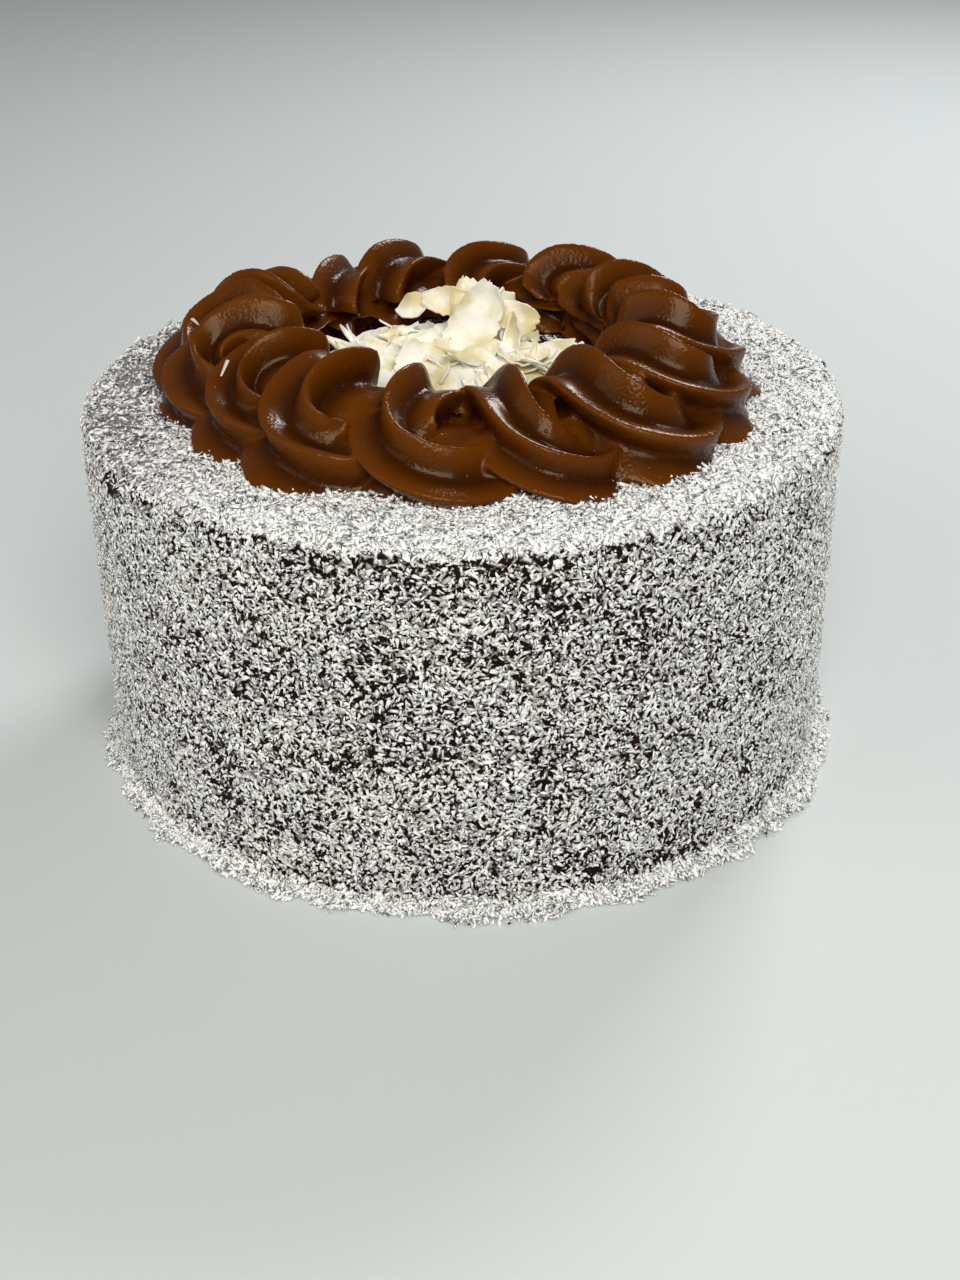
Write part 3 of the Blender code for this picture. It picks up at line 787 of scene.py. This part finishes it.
# %% Let the cream settle and close the strand
RING_BED = (62.0, 12.0, 11.0)  # radius, half width and height of the cream under the loops
BED_SIDES = 20
BED_STEPS = 120
BED_PAINTED_SHADE = 0.4  # painted light and shade: 0 is painted dark, for the shaded valleys between the ribs, and 1 painted light, on the ribs; the cream under the loops gets this painted shade
SINK = 1.2  # how far the cream reaches down between the flakes on the cake's top
UNEVENNESS = 0.35  # height of the soft bumps of its skin
BUMP_LENGTH = 9.0
SLUMP = 5.0  # how far the outer side spreads at its foot
SLUMP_HEIGHT = 18.0  # and up to what height
SLUMP_CURVE = 1.3
SLUMP_DRAW = 0.35  # how much the upper part is drawn in, as a share of the slump
SLUMP_REACH = (54.0, 66.0)  # radii between which the slump grows to its full size
HOLE_RADIUS = 42.5
HOLE_SOFTNESS = 0.25  # how much of what would reach further in is left


def settle(points):
    """What would reach below the cake's top lies flat on it, spreads outward, and the hole stays open."""
    points = points.copy()
    height = np.maximum(points[..., 2] - RING_FLOOR, -SINK)
    away = points[..., :2] - np.array(RING_CENTRE)
    radius = np.linalg.norm(away, axis=-1)
    outer = np.clip((radius - SLUMP_REACH[0]) / (SLUMP_REACH[1] - SLUMP_REACH[0]), 0, 1)
    low = np.clip(1 - height / SLUMP_HEIGHT, 0, 1)
    wanted = radius + SLUMP * outer * (low ** SLUMP_CURVE - SLUMP_DRAW)
    wanted = np.maximum(wanted, HOLE_RADIUS + HOLE_SOFTNESS * (wanted - HOLE_RADIUS))
    points[..., :2] = np.array(RING_CENTRE) + away * (wanted / radius)[..., None]
    points[..., 2] = RING_FLOOR + height
    return points


def add_strand(bm, tone):
    """Roll a grid up into the strand's tube, with closed ends."""
    points = settle(strand_points(STRAND_STEPS, STRAND_SIDES))
    last = len(points) - 1
    bmesh.ops.create_grid(bm, x_segments=last, y_segments=STRAND_SIDES, size=1)
    for vert in bm.verts:
        row = round((vert.co.x + 1) / 2 * last)
        side = round((vert.co.y + 1) / 2 * STRAND_SIDES) % STRAND_SIDES
        vert.co = points[row, side]
        # Painted light and shade: 1 on the ribs, painted lighter, down to 0 in the valleys between them,
        # painted darker.
        vert[tone] = (1 + math.cos(RIB_COUNT * FULL_TURN * side / STRAND_SIDES)) / 2
    bmesh.ops.remove_doubles(bm, verts=bm.verts, dist=0.001)
    bmesh.ops.holes_fill(bm, edges=[edge for edge in bm.edges if edge.is_boundary])


def add_bed(bm, tone):
    """Turn an oval round the ring's middle, for the cream under the loops."""
    radius, half_width, height = RING_BED
    strand_verts = set(bm.verts)
    oval = bmesh.ops.create_circle(bm, segments=BED_SIDES, radius=half_width)["verts"]
    bmesh.ops.rotate(bm, verts=oval, cent=(0, 0, 0), matrix=Matrix.Rotation(math.pi / 2, 3, "X"))
    bmesh.ops.scale(bm, verts=oval, vec=(1, 1, height / half_width))
    bmesh.ops.translate(bm, verts=oval, vec=(RING_CENTRE[0] + radius, RING_CENTRE[1], RING_FLOOR))
    edges = list({edge for vert in oval for edge in vert.link_edges})
    bmesh.ops.spin(bm, geom=oval + edges, cent=(*RING_CENTRE, 0), axis=(0, 0, 1),
                   angle=FULL_TURN, steps=BED_STEPS, use_merge=True)
    for vert in bm.verts:
        if vert not in strand_verts:
            # The cream under the loops is painted darker, as painted shade.
            vert[tone] = BED_PAINTED_SHADE


def ring_mesh():
    """The strand and the cream under it, with a softly uneven skin."""
    bm = bmesh.new()
    tone = bm.verts.layers.float.new("rib")
    add_strand(bm, tone)
    add_bed(bm, tone)
    bmesh.ops.recalc_face_normals(bm, faces=bm.faces)
    bm.normal_update()
    bumps = [vert.normal * noise.noise(vert.co / BUMP_LENGTH) * UNEVENNESS for vert in bm.verts]
    for vert, bump in zip(bm.verts, bumps):
        vert.co += bump
        vert.co.z = max(vert.co.z, RING_FLOOR - SINK)
    return mesh_from(bm, "strand_and_bed")


print("the strand has", (len(LOOPS) - 1) * STRAND_STEPS, "steps of", STRAND_SIDES, "corners")

# %% [markdown]
# ## One soft skin
# Where loops of real cream touch, they run together with a soft seam. Overlapping tubes would
# show a hard line there. A Remesh modifier lays one new skin over all of them, Smooth rounds
# the seams, and Decimate thins the skin to a size that stores well. The new corners know
# nothing of the ribs, so each takes the painted light and shade of the ribs from the old
# corners nearest to it.

# %% Join the loops in one soft skin
SKIN_CELL = 0.55  # size of the new skin's faces before they are thinned
SKIN_TRIANGLES = 190_000
RIB_NEIGHBOURS = 6  # how many old corners each new one takes its rib value from
SKIN_SOFTENING = 4  # rounds of smoothing, which rounds the seams between the loops


def keep_largest(bm):
    """Keep the outer skin: hollows sealed inside it are smaller pieces."""
    waiting = set(bm.verts)
    pieces = []
    while waiting:
        piece = [waiting.pop()]
        for vert in piece:
            for edge in vert.link_edges:
                other = edge.other_vert(vert)
                if other in waiting:
                    waiting.remove(other)
                    piece.append(other)
        pieces.append(piece)
    pieces.sort(key=len)
    bmesh.ops.delete(bm, geom=[vert for piece in pieces[:-1] for vert in piece], context="VERTS")


def reshaped(mesh, kind, **settings):
    """A copy of the mesh after one modifier."""
    holder = bpy.data.objects.new("holder", mesh)
    bpy.context.scene.collection.objects.link(holder)
    modifier = holder.modifiers.new(kind, kind)
    for name, value in settings.items():
        setattr(modifier, name, value)
    made = bpy.data.meshes.new_from_object(holder.evaluated_get(bpy.context.evaluated_depsgraph_get()))
    bpy.data.objects.remove(holder)
    return made


def painted_rib_shading(mesh, skin):
    """For each corner of the skin, the mean painted rib shading of the old corners nearest to it."""
    tree = kdtree.KDTree(len(mesh.vertices))
    for vert in mesh.vertices:
        tree.insert(vert.co, vert.index)
    tree.balance()
    ribs = np.array([item.value for item in mesh.attributes["rib"].data], np.float32)
    near = [[index for _, index, _ in tree.find_n(vert.co, RIB_NEIGHBOURS)] for vert in skin.vertices]
    return ribs[np.array(near)].mean(axis=1)


def one_skin(mesh):
    """A new skin over overlapping shapes, with soft seams and no hollows inside."""
    skin = reshaped(mesh, "REMESH", mode="VOXEL", voxel_size=SKIN_CELL * MM)
    bm = bmesh.new()
    bm.from_mesh(skin)
    keep_largest(bm)
    bm.to_mesh(skin)
    bm.free()
    skin = reshaped(skin, "SMOOTH", iterations=SKIN_SOFTENING)
    skin = reshaped(skin, "DECIMATE", ratio=SKIN_TRIANGLES / (2 * len(skin.polygons)))
    rib_light_and_shade = skin.attributes.new("rib", "FLOAT", "POINT")
    rib_light_and_shade.data.foreach_set("value", painted_rib_shading(mesh, skin))
    skin.shade_smooth()
    return skin


# %% [markdown]
# ## Caramel cream
# Cooked caramel cream is deep brown, with a moist skin from satin to glossy. It lets light in a
# little way, which Subsurface scattering could show. A plain colour is cheaper and does here: it
# is painted lighter on the ribs, where light would glow through, and painted darker between
# them, as the shade in the creases. Grains and air bubbles break its highlights up into specks.
# They are drawn coarser than the real ones, which would vanish in the render.

# %% The caramel material
CARAMEL_IOR = 1.47
SWIRL_MM = 25.0  # of its slow changes in colour
SHEEN_MM = 6.0  # of the moister and drier spots
GRAIN_MM = 0.9
GRAINY_PATCH_MM = 14.0  # some parts of the skin are grainier than others
BUBBLE_MM = 3.5  # from one bubble to the next
PIT_EDGE = (0.05, 0.16)  # a bubble's pit rises between these shares of that
SKIN_RELIEF = 0.3  # depth of grains and pits


def caramel_material():
    material, tree, shader = new_material("caramel_cream", IOR=CARAMEL_IOR, Specular_IOR_Level=0.18,
                                          Specular_Tint=linear("ffeecc"))
    place = add_node(tree, "ShaderNodeTexCoord", "Object")
    swirl, sheen, grain, grainy = [
        add_node(tree, "ShaderNodeTexNoise", "Fac", {"Vector": place, "Scale": 1000 / size, "Detail": detail})
        for size, detail in ((SWIRL_MM, 3.0), (SHEEN_MM, 4.0), (GRAIN_MM, 1.0), (GRAINY_PATCH_MM, 1.0))]
    rib = add_node(tree, "ShaderNodeAttribute", "Fac", attribute_name="rib")
    # Painted shade and light: the valley colour is painted shade in the creases, the ridge colour a painted
    # glow on the ribs.
    valley = add_node(tree, "ShaderNodeMix", MIXED,
                      {FACTOR: swirl, FIRST: linear("260c00"), SECOND: linear("361500")}, data_type="RGBA")
    ridge = add_node(tree, "ShaderNodeMix", MIXED,
                     {FACTOR: swirl, FIRST: linear("502601"), SECOND: linear("693602")}, data_type="RGBA")
    colour = add_node(tree, "ShaderNodeMix", MIXED, {FACTOR: rib, FIRST: valley, SECOND: ridge},
                      data_type="RGBA")
    tree.links.new(colour, shader.inputs["Base Color"])
    rough = add_node(tree, "ShaderNodeMapRange", "Result",
                     {"Value": sheen, "From Min": 0.3, "From Max": 0.7, "To Min": 0.14, "To Max": 0.32})
    tree.links.new(rough, shader.inputs["Roughness"])
    strength = add_node(tree, "ShaderNodeMapRange", "Result",
                        {"Value": grainy, "From Min": 0.45, "From Max": 0.65, "To Min": 0.15, "To Max": 0.8})
    grains = add_node(tree, "ShaderNodeBump", "Normal",
                      {"Height": grain, "Distance": SKIN_RELIEF * MM, "Strength": strength})
    bubbles = add_node(tree, "ShaderNodeTexVoronoi", "Distance",
                       {"Vector": place, "Scale": 1000 / BUBBLE_MM}, feature="F1")
    pit = add_node(tree, "ShaderNodeMapRange", "Result",
                   {"Value": bubbles, "From Min": PIT_EDGE[0], "From Max": PIT_EDGE[1]})
    pits = add_node(tree, "ShaderNodeBump", "Normal",
                    {"Height": pit, "Strength": 0.4, "Distance": SKIN_RELIEF * MM, "Normal": grains})
    tree.links.new(pits, shader.inputs["Normal"])
    return material


caramel = caramel_material()
ring = new_piece("piped_caramel_ring", one_skin(ring_mesh()), caramel)
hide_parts("caramel_ring")

# %% [markdown]
# ## Two shreds on the ring
# Two flakes stick to the left of the ring. They are single and easy to see, so each is a small
# tapered cone, pressed flat and laid between two points. Scattering would put them anywhere.

# %% Two shreds that stick to the ring
SHRED_WIDTH = 1.1
SHRED_THICKNESS = 0.5
STUCK_SHADE = 0.5
# The two ends of each one
STUCK_SHREDS = (
    ((-58.0, -26.3, 116.6), (-59.3, -31.0, 114.3)),
    ((-69.2, -5.5, 120.2), (-67.0, -9.9, 120.2)),
)


def stuck_mesh():
    bm = bmesh.new()
    for start, end in STUCK_SHREDS:
        start, end = Vector(start), Vector(end)
        shred = bmesh.ops.create_cone(bm, cap_ends=True, segments=6, radius1=SHRED_WIDTH / 2,
                                      radius2=SHRED_WIDTH / 4, depth=(end - start).length)["verts"]
        bmesh.ops.scale(bm, verts=shred, vec=(1, SHRED_THICKNESS / SHRED_WIDTH, 1))
        turn = (end - start).to_track_quat("Z", "Y").to_matrix()
        bmesh.ops.rotate(bm, verts=shred, cent=(0, 0, 0), matrix=turn)
        bmesh.ops.translate(bm, verts=shred, vec=(start + end) / 2)
    mesh = mesh_from(bm, "stuck_shreds")
    shade = mesh.attributes.new("shade", "FLOAT", "POINT")
    shade.data.foreach_set("value", np.full(len(mesh.vertices), STUCK_SHADE, np.float32))
    return mesh


new_piece("shreds_on_ring", stuck_mesh(), coconut)

# %% [markdown]
# ## Coconut chips
# The chips are shaved from fresh coconut: thin, cream-white, curled, and torn at the edge. A
# scanned chip would look best, but one shape that is bent and torn in another way each time
# makes a whole heap. Each starts as a flat grid that is narrowed to a leaf, bent along its
# length and rippled, and then gets its thickness.

# %% One chip
RAGGED = 0.2  # how far the edges are torn in and out, as a share of the width
RAGGED_MM = 3.4  # length of the tears
END_RAGGED = 0.6  # how much of that the ends have
CHIP_WAVE = 0.6  # height of the waves in a chip
CHIP_WAVE_MM = 5.0  # length of those waves
CHIP_FLAT_SIDE = 0.5  # how far one long side reaches out, as a share of the other
CHIP_POINT = 0.6  # how much narrower the ends are than the middle, and how late they narrow
CHIP_POINT_CURVE = 2.5
CHIP_DISH = 0.12
CHIP_TWIST = (2.6, 0.8)  # how fast the ripple runs along a chip, and where it starts
CHIP_SHIFT = (13.7, 5.3, 2.9)  # moves each chip's noise to a place of its own
CHIP_LOWEST = 0.05  # no chip goes lower than this above the cake's top


def add_chip(bm, size, curl, ripple, pose, cells, seed):
    """Add one chip to a bmesh in its place: ragged edges, one long side flatter than the other."""
    length, width, thickness = size
    chip = bmesh.new()
    bmesh.ops.create_grid(chip, x_segments=cells[0], y_segments=cells[1], size=1)
    shift = Vector([seed * part for part in CHIP_SHIFT])
    for vert in chip.verts:
        run_along, side = vert.co.x, vert.co.y
        edge = noise.noise(Vector((run_along * length / RAGGED_MM, math.copysign(3, side), 0)) + shift)
        end = noise.noise(Vector((math.copysign(3, run_along), side * width / RAGGED_MM, 5)) + shift)
        half = width / (1 + CHIP_FLAT_SIDE) * (1 - CHIP_POINT * abs(run_along) ** CHIP_POINT_CURVE)
        half *= 1 + RAGGED * edge
        half *= CHIP_FLAT_SIDE if side > 0 else 1
        run_along *= 1 + RAGGED * END_RAGGED * end
        bend = curl * run_along
        radius = length / 2 / curl
        sheet = Vector((radius * math.sin(bend), side * half, radius * (1 - math.cos(bend))))
        sheet.z += ripple * side * math.sin(CHIP_TWIST[0] * run_along + CHIP_TWIST[1])
        sheet.z += CHIP_DISH * width * side * side
        sheet.z += CHIP_WAVE * noise.noise(sheet / CHIP_WAVE_MM + shift)
        vert.co = sheet
    chip.normal_update()
    upper = bmesh.ops.extrude_face_region(chip, geom=chip.faces[:], use_keep_orig=True)["geom"]
    for vert in upper:
        if isinstance(vert, bmesh.types.BMVert):
            vert.co += vert.normal * thickness
    bmesh.ops.recalc_face_normals(chip, faces=chip.faces)
    bmesh.ops.transform(chip, matrix=pose, verts=chip.verts)
    for vert in chip.verts:
        vert.co.z = max(vert.co.z, RING_FLOOR + CHIP_LOWEST)
    mesh = bpy.data.meshes.new("chip")
    chip.to_mesh(mesh)
    chip.free()
    bm.from_mesh(mesh)
    bpy.data.meshes.remove(mesh)


# %% [markdown]
# ## The heap of chips
# A low core of the same coconut carries the heap, and flat chips hide it. On them lie the chips
# that stand out, each placed where the real one lies, and a few thin shavings at random.
# Letting chips fall in a physics simulation would heap them well, but never with the tall ones
# where they belong.

# %% The chips that stand out
HEAP_CENTRE = (-4.0, 4.0)
HEAP_RADIUS = (32.0, 28.0)
HEAP_HEIGHT = 7.0
HEAP_LIMIT = 40.5  # no chip reaches further from the ring's middle
HEAP_SEED = 21
LOOSE_CHIPS = 2
# The chips that stand out: x and y of the middle, height over the cake's top, length, width,
# curl, and the heading, pitch and roll in degrees
CHIPS = (
    (2, 6, 15.0, 24, 12.5, 0.5, 23, 53, 46),
    (0, 12, 14.5, 20, 9, -0.4, 67, 78, 20),
    (8, 12, 13.4, 18, 9, 0.4, 30, 66, 74),
    (-4, 14, 19.0, 13, 7.5, 0.35, -19, 7, 62),
    (-13, 16, 16.6, 9.5, 7, -0.4, -22, 15, 50),
    (15, 8, 16.0, 12, 8.5, 0.4, -10, -20, 60),
    (11, 6, 10.5, 14, 8, 0.5, 77, 66, 74),
    (13, 4, 10.5, 14, 8, -0.5, 101, 58, -68),
    (25, 13, 4.2, 15, 7, 0.3, -28, 2, 0),
    (22, 1, 5.6, 24, 10, 0.4, 46, -4, 14),
    (15, 0, 7.2, 16, 13, 0.4, -11, -9, 0),
    (-8, -9, 7.2, 17, 14, 0.3, -83, -21, 2),
    (3, -8, 7.6, 17, 12, -0.4, -21, -8, 16),
    (-17, -1, 6.6, 20, 12, 0.5, -44, -5, 6),
    (2, -7, 9.6, 18, 6, 0.5, 35, 0, 18),
    (-28, 20, 3.6, 19, 3, 0.4, -53, -4, 18),
    (-27, 12, 4.6, 24, 5, 0.4, -34, 2, 20),
    (-26, 5, 4.4, 22, 6, 0.35, -48, 1, 0),
    (-18, 17, 5.6, 12, 8, 0.8, 6, 6, 30),
    (-12, 3, 8.6, 14, 8, 0.9, 35, 0, 26),
    (-8, 8, 8.6, 14, 9, 0.6, -14, 10, 30),
)


def over_heap(turn, out):
    """A place over the heap: an angle, and a share of the way from its middle to its edge."""
    return (HEAP_CENTRE[0] + HEAP_RADIUS[0] * out * math.cos(turn),
            HEAP_CENTRE[1] + HEAP_RADIUS[1] * out * math.sin(turn))


def chip_table():
    """The chips that stand out, then loose ones drawn at random. Each row ends with its ripple."""
    random = np.random.default_rng(HEAP_SEED)
    rows = [(*row, random.uniform(0.5, 1.5)) for row in CHIPS]
    for _ in range(LOOSE_CHIPS):
        turn = random.uniform(-1.1, 0.15) * math.pi
        out = math.sqrt(random.uniform(0.02, 0.85))
        height = 1.5 + (HEAP_HEIGHT - 0.5) * (1 - out ** 2)
        rows.append((*over_heap(turn, out), height, random.uniform(12, 21), random.uniform(6, 12),
                     random.uniform(0.3, 0.9) * random.choice((-1, 1)), random.uniform(0, 360),
                     random.uniform(-14, 14), random.uniform(-28, 28), random.uniform(0.3, 1.2)))
    return rows


print(len(CHIPS), "chips are placed by hand")

# %% Shavings and the chips that hide the core
SHAVINGS = 16
SHAVING_SEED = 4
COVER_CHIPS = 34
COVER_SEED = 8
COVER_TURN = 2.4  # from one of them to the next, in radians, so that they spread evenly
COVER_STEEPEST = 20  # degrees


def shaving_table():
    """Small curved shavings drawn at random over the heap, each a little above its core."""
    random = np.random.default_rng(SHAVING_SEED)
    rows = []
    for _ in range(SHAVINGS):
        turn = random.uniform(0, FULL_TURN)
        out = math.sqrt(random.uniform(0.0, 1.0))
        height = HEAP_HEIGHT * math.sqrt(1 - out ** 2) + random.uniform(0.2, 2.6)
        rows.append((*over_heap(turn, out), height, random.uniform(9, 18), random.uniform(0.9, 2.2),
                     random.uniform(0.5, 1.3) * random.choice((-1, 1)), random.uniform(0, 360),
                     random.uniform(-12, 12), random.uniform(-35, 35), random.uniform(0.2, 0.6)))
    return rows


def cover_table():
    """Flat chips laid all over the core of the heap, each following its slope."""
    random = np.random.default_rng(COVER_SEED)
    rows = []
    for number in range(COVER_CHIPS):
        out = math.sqrt((number + 0.5) / COVER_CHIPS)
        turn = COVER_TURN * number + random.uniform(-0.3, 0.3)
        fall = math.sqrt(1 - out ** 2)
        slope = math.degrees(math.atan2(HEAP_HEIGHT * out, HEAP_RADIUS[0] * fall))
        rows.append((*over_heap(turn, out), HEAP_HEIGHT * fall + random.uniform(0.3, 1.1),
                     random.uniform(11, 17), random.uniform(7, 11),
                     random.uniform(0.2, 0.5) * random.choice((-1, 1)),
                     math.degrees(turn) + random.uniform(-50, 50), -min(slope, COVER_STEEPEST),
                     random.uniform(-10, 10), random.uniform(0.3, 0.9)))
    return rows


print(SHAVINGS, "shavings and", COVER_CHIPS, "flat chips are drawn at random")

# %% Lay the heap
# Each kind: its rows, thickness, cells along and across, and the number that its noise starts from
KINDS_OF_CHIP = (
    (chip_table, 0.5, (24, 12), 0),
    (cover_table, 0.5, (16, 8), COVER_CHIPS),
    (shaving_table, 0.35, (12, 4), SHAVINGS),
)
CORE_CELLS = (40, 20)
SHARP_EDGE = 50  # edges that bend more than this, in degrees, look crisp


def chip_pose(row):
    """Where a chip lies: moved in where it would come too near the ring."""
    x, y, height, length, width = row[:5]
    heading, pitch, roll = (math.radians(value) for value in row[6:9])
    reach = Vector((x - RING_CENTRE[0], y - RING_CENTRE[1]))
    aside = heading - math.atan2(reach.y, reach.x)
    half = length / 2 * math.cos(pitch) * abs(math.cos(aside)) + width / 2 * abs(math.sin(aside))
    if reach.length + half > HEAP_LIMIT:
        reach *= max(HEAP_LIMIT - half, 0) / reach.length
    place = Vector((RING_CENTRE[0] + reach.x, RING_CENTRE[1] + reach.y, RING_FLOOR + height))
    turn = Matrix.Rotation(heading, 4, "Z") @ Matrix.Rotation(-pitch, 4, "Y")
    return Matrix.Translation(place) @ turn @ Matrix.Rotation(roll, 4, "X")


def heap_mesh():
    bm = bmesh.new()
    bmesh.ops.create_uvsphere(bm, u_segments=CORE_CELLS[0], v_segments=CORE_CELLS[1], radius=1)
    for vert in bm.verts:
        height = max(vert.co.z, 0) * HEAP_HEIGHT
        vert.co = Vector((HEAP_CENTRE[0] + vert.co.x * HEAP_RADIUS[0],
                          HEAP_CENTRE[1] + vert.co.y * HEAP_RADIUS[1], RING_FLOOR + height))
    bmesh.ops.remove_doubles(bm, verts=bm.verts, dist=0.001)
    for table, thickness, cells, first in KINDS_OF_CHIP:
        for number, row in enumerate(table(), first):
            length, width, curl, ripple = row[3], row[4], row[5], row[9]
            add_chip(bm, (length, width, thickness), curl, ripple, chip_pose(row), cells, number)
    bmesh.ops.scale(bm, vec=(MM, MM, MM), verts=bm.verts)
    mesh = bpy.data.meshes.new("chips")
    bm.to_mesh(mesh)
    bm.free()
    mesh.shade_smooth()
    mesh.set_sharp_from_angle(angle=math.radians(SHARP_EDGE))
    return mesh


# %% [markdown]
# ## Fresh coconut
# Coconut flesh is cream-white, waxy and a little see-through, so light that enters a chip comes
# out again beside it. Subsurface scattering does that. Darker cream comes in soft spots, and a
# fine bump stands for the fibres.

# %% The chips' material and the heap itself
CHIP_SPOT_MM = 8.33
FIBRE_MM = 2.63  # real fibres are finer: these are drawn as coarse as they need to show
FIBRE_RELIEF = 0.7


def chip_material():
    material, tree, shader = new_material("shaved_coconut", Roughness=0.5, IOR=1.45,
                                          Subsurface_Weight=0.12, Subsurface_Scale=0.001)
    shader.inputs["Subsurface Radius"].default_value = (1.0, 0.75, 0.4)
    place = add_node(tree, "ShaderNodeTexCoord", "Object")
    spots = add_node(tree, "ShaderNodeTexNoise", "Fac",
                     {"Vector": place, "Scale": 1000 / CHIP_SPOT_MM, "Detail": 3.0})
    pale = add_node(tree, "ShaderNodeMapRange", "Result", {"Value": spots, "From Min": 0.33, "From Max": 0.6},
                    interpolation_type="SMOOTHSTEP")
    colour = add_node(tree, "ShaderNodeMix", MIXED,
                      {FACTOR: pale, FIRST: linear("e0d2a2"), SECOND: linear("f6f3e5")}, data_type="RGBA")
    tree.links.new(colour, shader.inputs["Base Color"])
    fibre = add_node(tree, "ShaderNodeTexNoise", "Fac",
                     {"Vector": place, "Scale": 1000 / FIBRE_MM, "Detail": 4.0})
    bump = add_node(tree, "ShaderNodeBump", "Normal",
                    {"Height": fibre, "Strength": 0.5, "Distance": FIBRE_RELIEF * MM})
    tree.links.new(bump, shader.inputs["Normal"])
    return material


shaved_coconut = chip_material()
chips = new_piece("coconut_chip_heap", heap_mesh(), shaved_coconut)
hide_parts("coconut_chips")

# %% [markdown]
# ## Table and light
# The cake stands on a plain pale table in soft daylight. A small window behind it to the right
# gives the highlights on the ring, a large one in front lights the wall of the cake, and a
# faint light from the left and a pale sky fill the shadows. Area lights are used, because a
# window is a bright surface and its shadows have soft edges.

# %% Floor and lights
FLOOR_SIZE = 8.0
SKY_STRENGTH = 0.18
# Each light: its place and what it points at in metres, its size in metres, watts and colour
LIGHTS = {
    "window_behind": ((0.45, 0.8, 0.75), (0, 0, 0.08), 0.35, 6.3, "fbfcff"),
    "window_front": ((0.12, -1.05, 0.95), (0, 0, 0.05), 0.8, 16.3, "fffdf9"),
    "pale_wall": ((-1.0, -0.6, 0.7), (0, 0, 0.05), 0.9, 3.4, "fffaf4"),
}


def stage_floor():
    bm = bmesh.new()
    bmesh.ops.create_grid(bm, x_segments=1, y_segments=1, size=FLOOR_SIZE / 2)
    mesh = bpy.data.meshes.new("table")
    bm.to_mesh(mesh)
    bm.free()
    floor = bpy.data.objects.new("table", mesh)
    bpy.context.scene.collection.objects.link(floor)
    material, _, shader = new_material("pale_table", Roughness=0.7)
    shader.inputs["Base Color"].default_value = linear("d3d8d6")
    mesh.materials.append(material)


def add_light(name, place, target, size, watts, colour):
    lamp = bpy.data.lights.new(name, "AREA")
    lamp.energy = watts
    lamp.size = size
    lamp.color = linear(colour)[:3]
    thing = bpy.data.objects.new(name, lamp)
    bpy.context.scene.collection.objects.link(thing)
    thing.location = place
    thing.rotation_euler = (Vector(target) - Vector(place)).to_track_quat("-Z", "Y").to_euler()


stage_floor()
for name, light in LIGHTS.items():
    add_light(name, *light)
sky = bpy.data.worlds.new("sky")
bpy.context.scene.world = sky
sky.use_nodes = True
sky.node_tree.nodes["Background"].inputs["Color"].default_value = linear("f2f6f8")
sky.node_tree.nodes["Background"].inputs["Strength"].default_value = SKY_STRENGTH
bpy.context.scene.view_settings.view_transform = "Standard"
print("lights:", *LIGHTS)

# %% [markdown]
# ## Camera
# The camera stands where the photograph was taken from: its place, tilt, roll and lens were
# fitted to that. A camera looks along its own -Z, so its turn is a matrix of its right side,
# its upper side and the way back.

# %% Camera
CAMERA_PLACE = (4.0, -470.4, 283.0)
CAMERA_DOWN = math.radians(29.056)
CAMERA_ROLL = math.radians(-0.620)
LENS = 53.02
SENSOR = 36  # both in mm
SEEN_BETWEEN = (0.01, 50)  # metres from the camera


def add_camera():
    data = bpy.data.cameras.new("camera")
    data.sensor_width = SENSOR
    data.lens = LENS
    data.clip_start, data.clip_end = SEEN_BETWEEN
    camera = bpy.data.objects.new("camera", data)
    bpy.context.scene.collection.objects.link(camera)
    bpy.context.scene.camera = camera
    ahead = Vector((0, math.cos(CAMERA_DOWN), -math.sin(CAMERA_DOWN)))
    right = Vector((1, 0, 0))
    up = right.cross(ahead)
    level_right = math.cos(CAMERA_ROLL) * right + math.sin(CAMERA_ROLL) * up
    level_up = -math.sin(CAMERA_ROLL) * right + math.cos(CAMERA_ROLL) * up
    turn = Matrix((level_right, level_up, -ahead)).transposed()
    camera.matrix_world = Matrix.Translation(Vector(CAMERA_PLACE) * MM) @ turn.to_4x4()


add_camera()
print("the camera looks down by", round(math.degrees(CAMERA_DOWN), 1), "degrees")
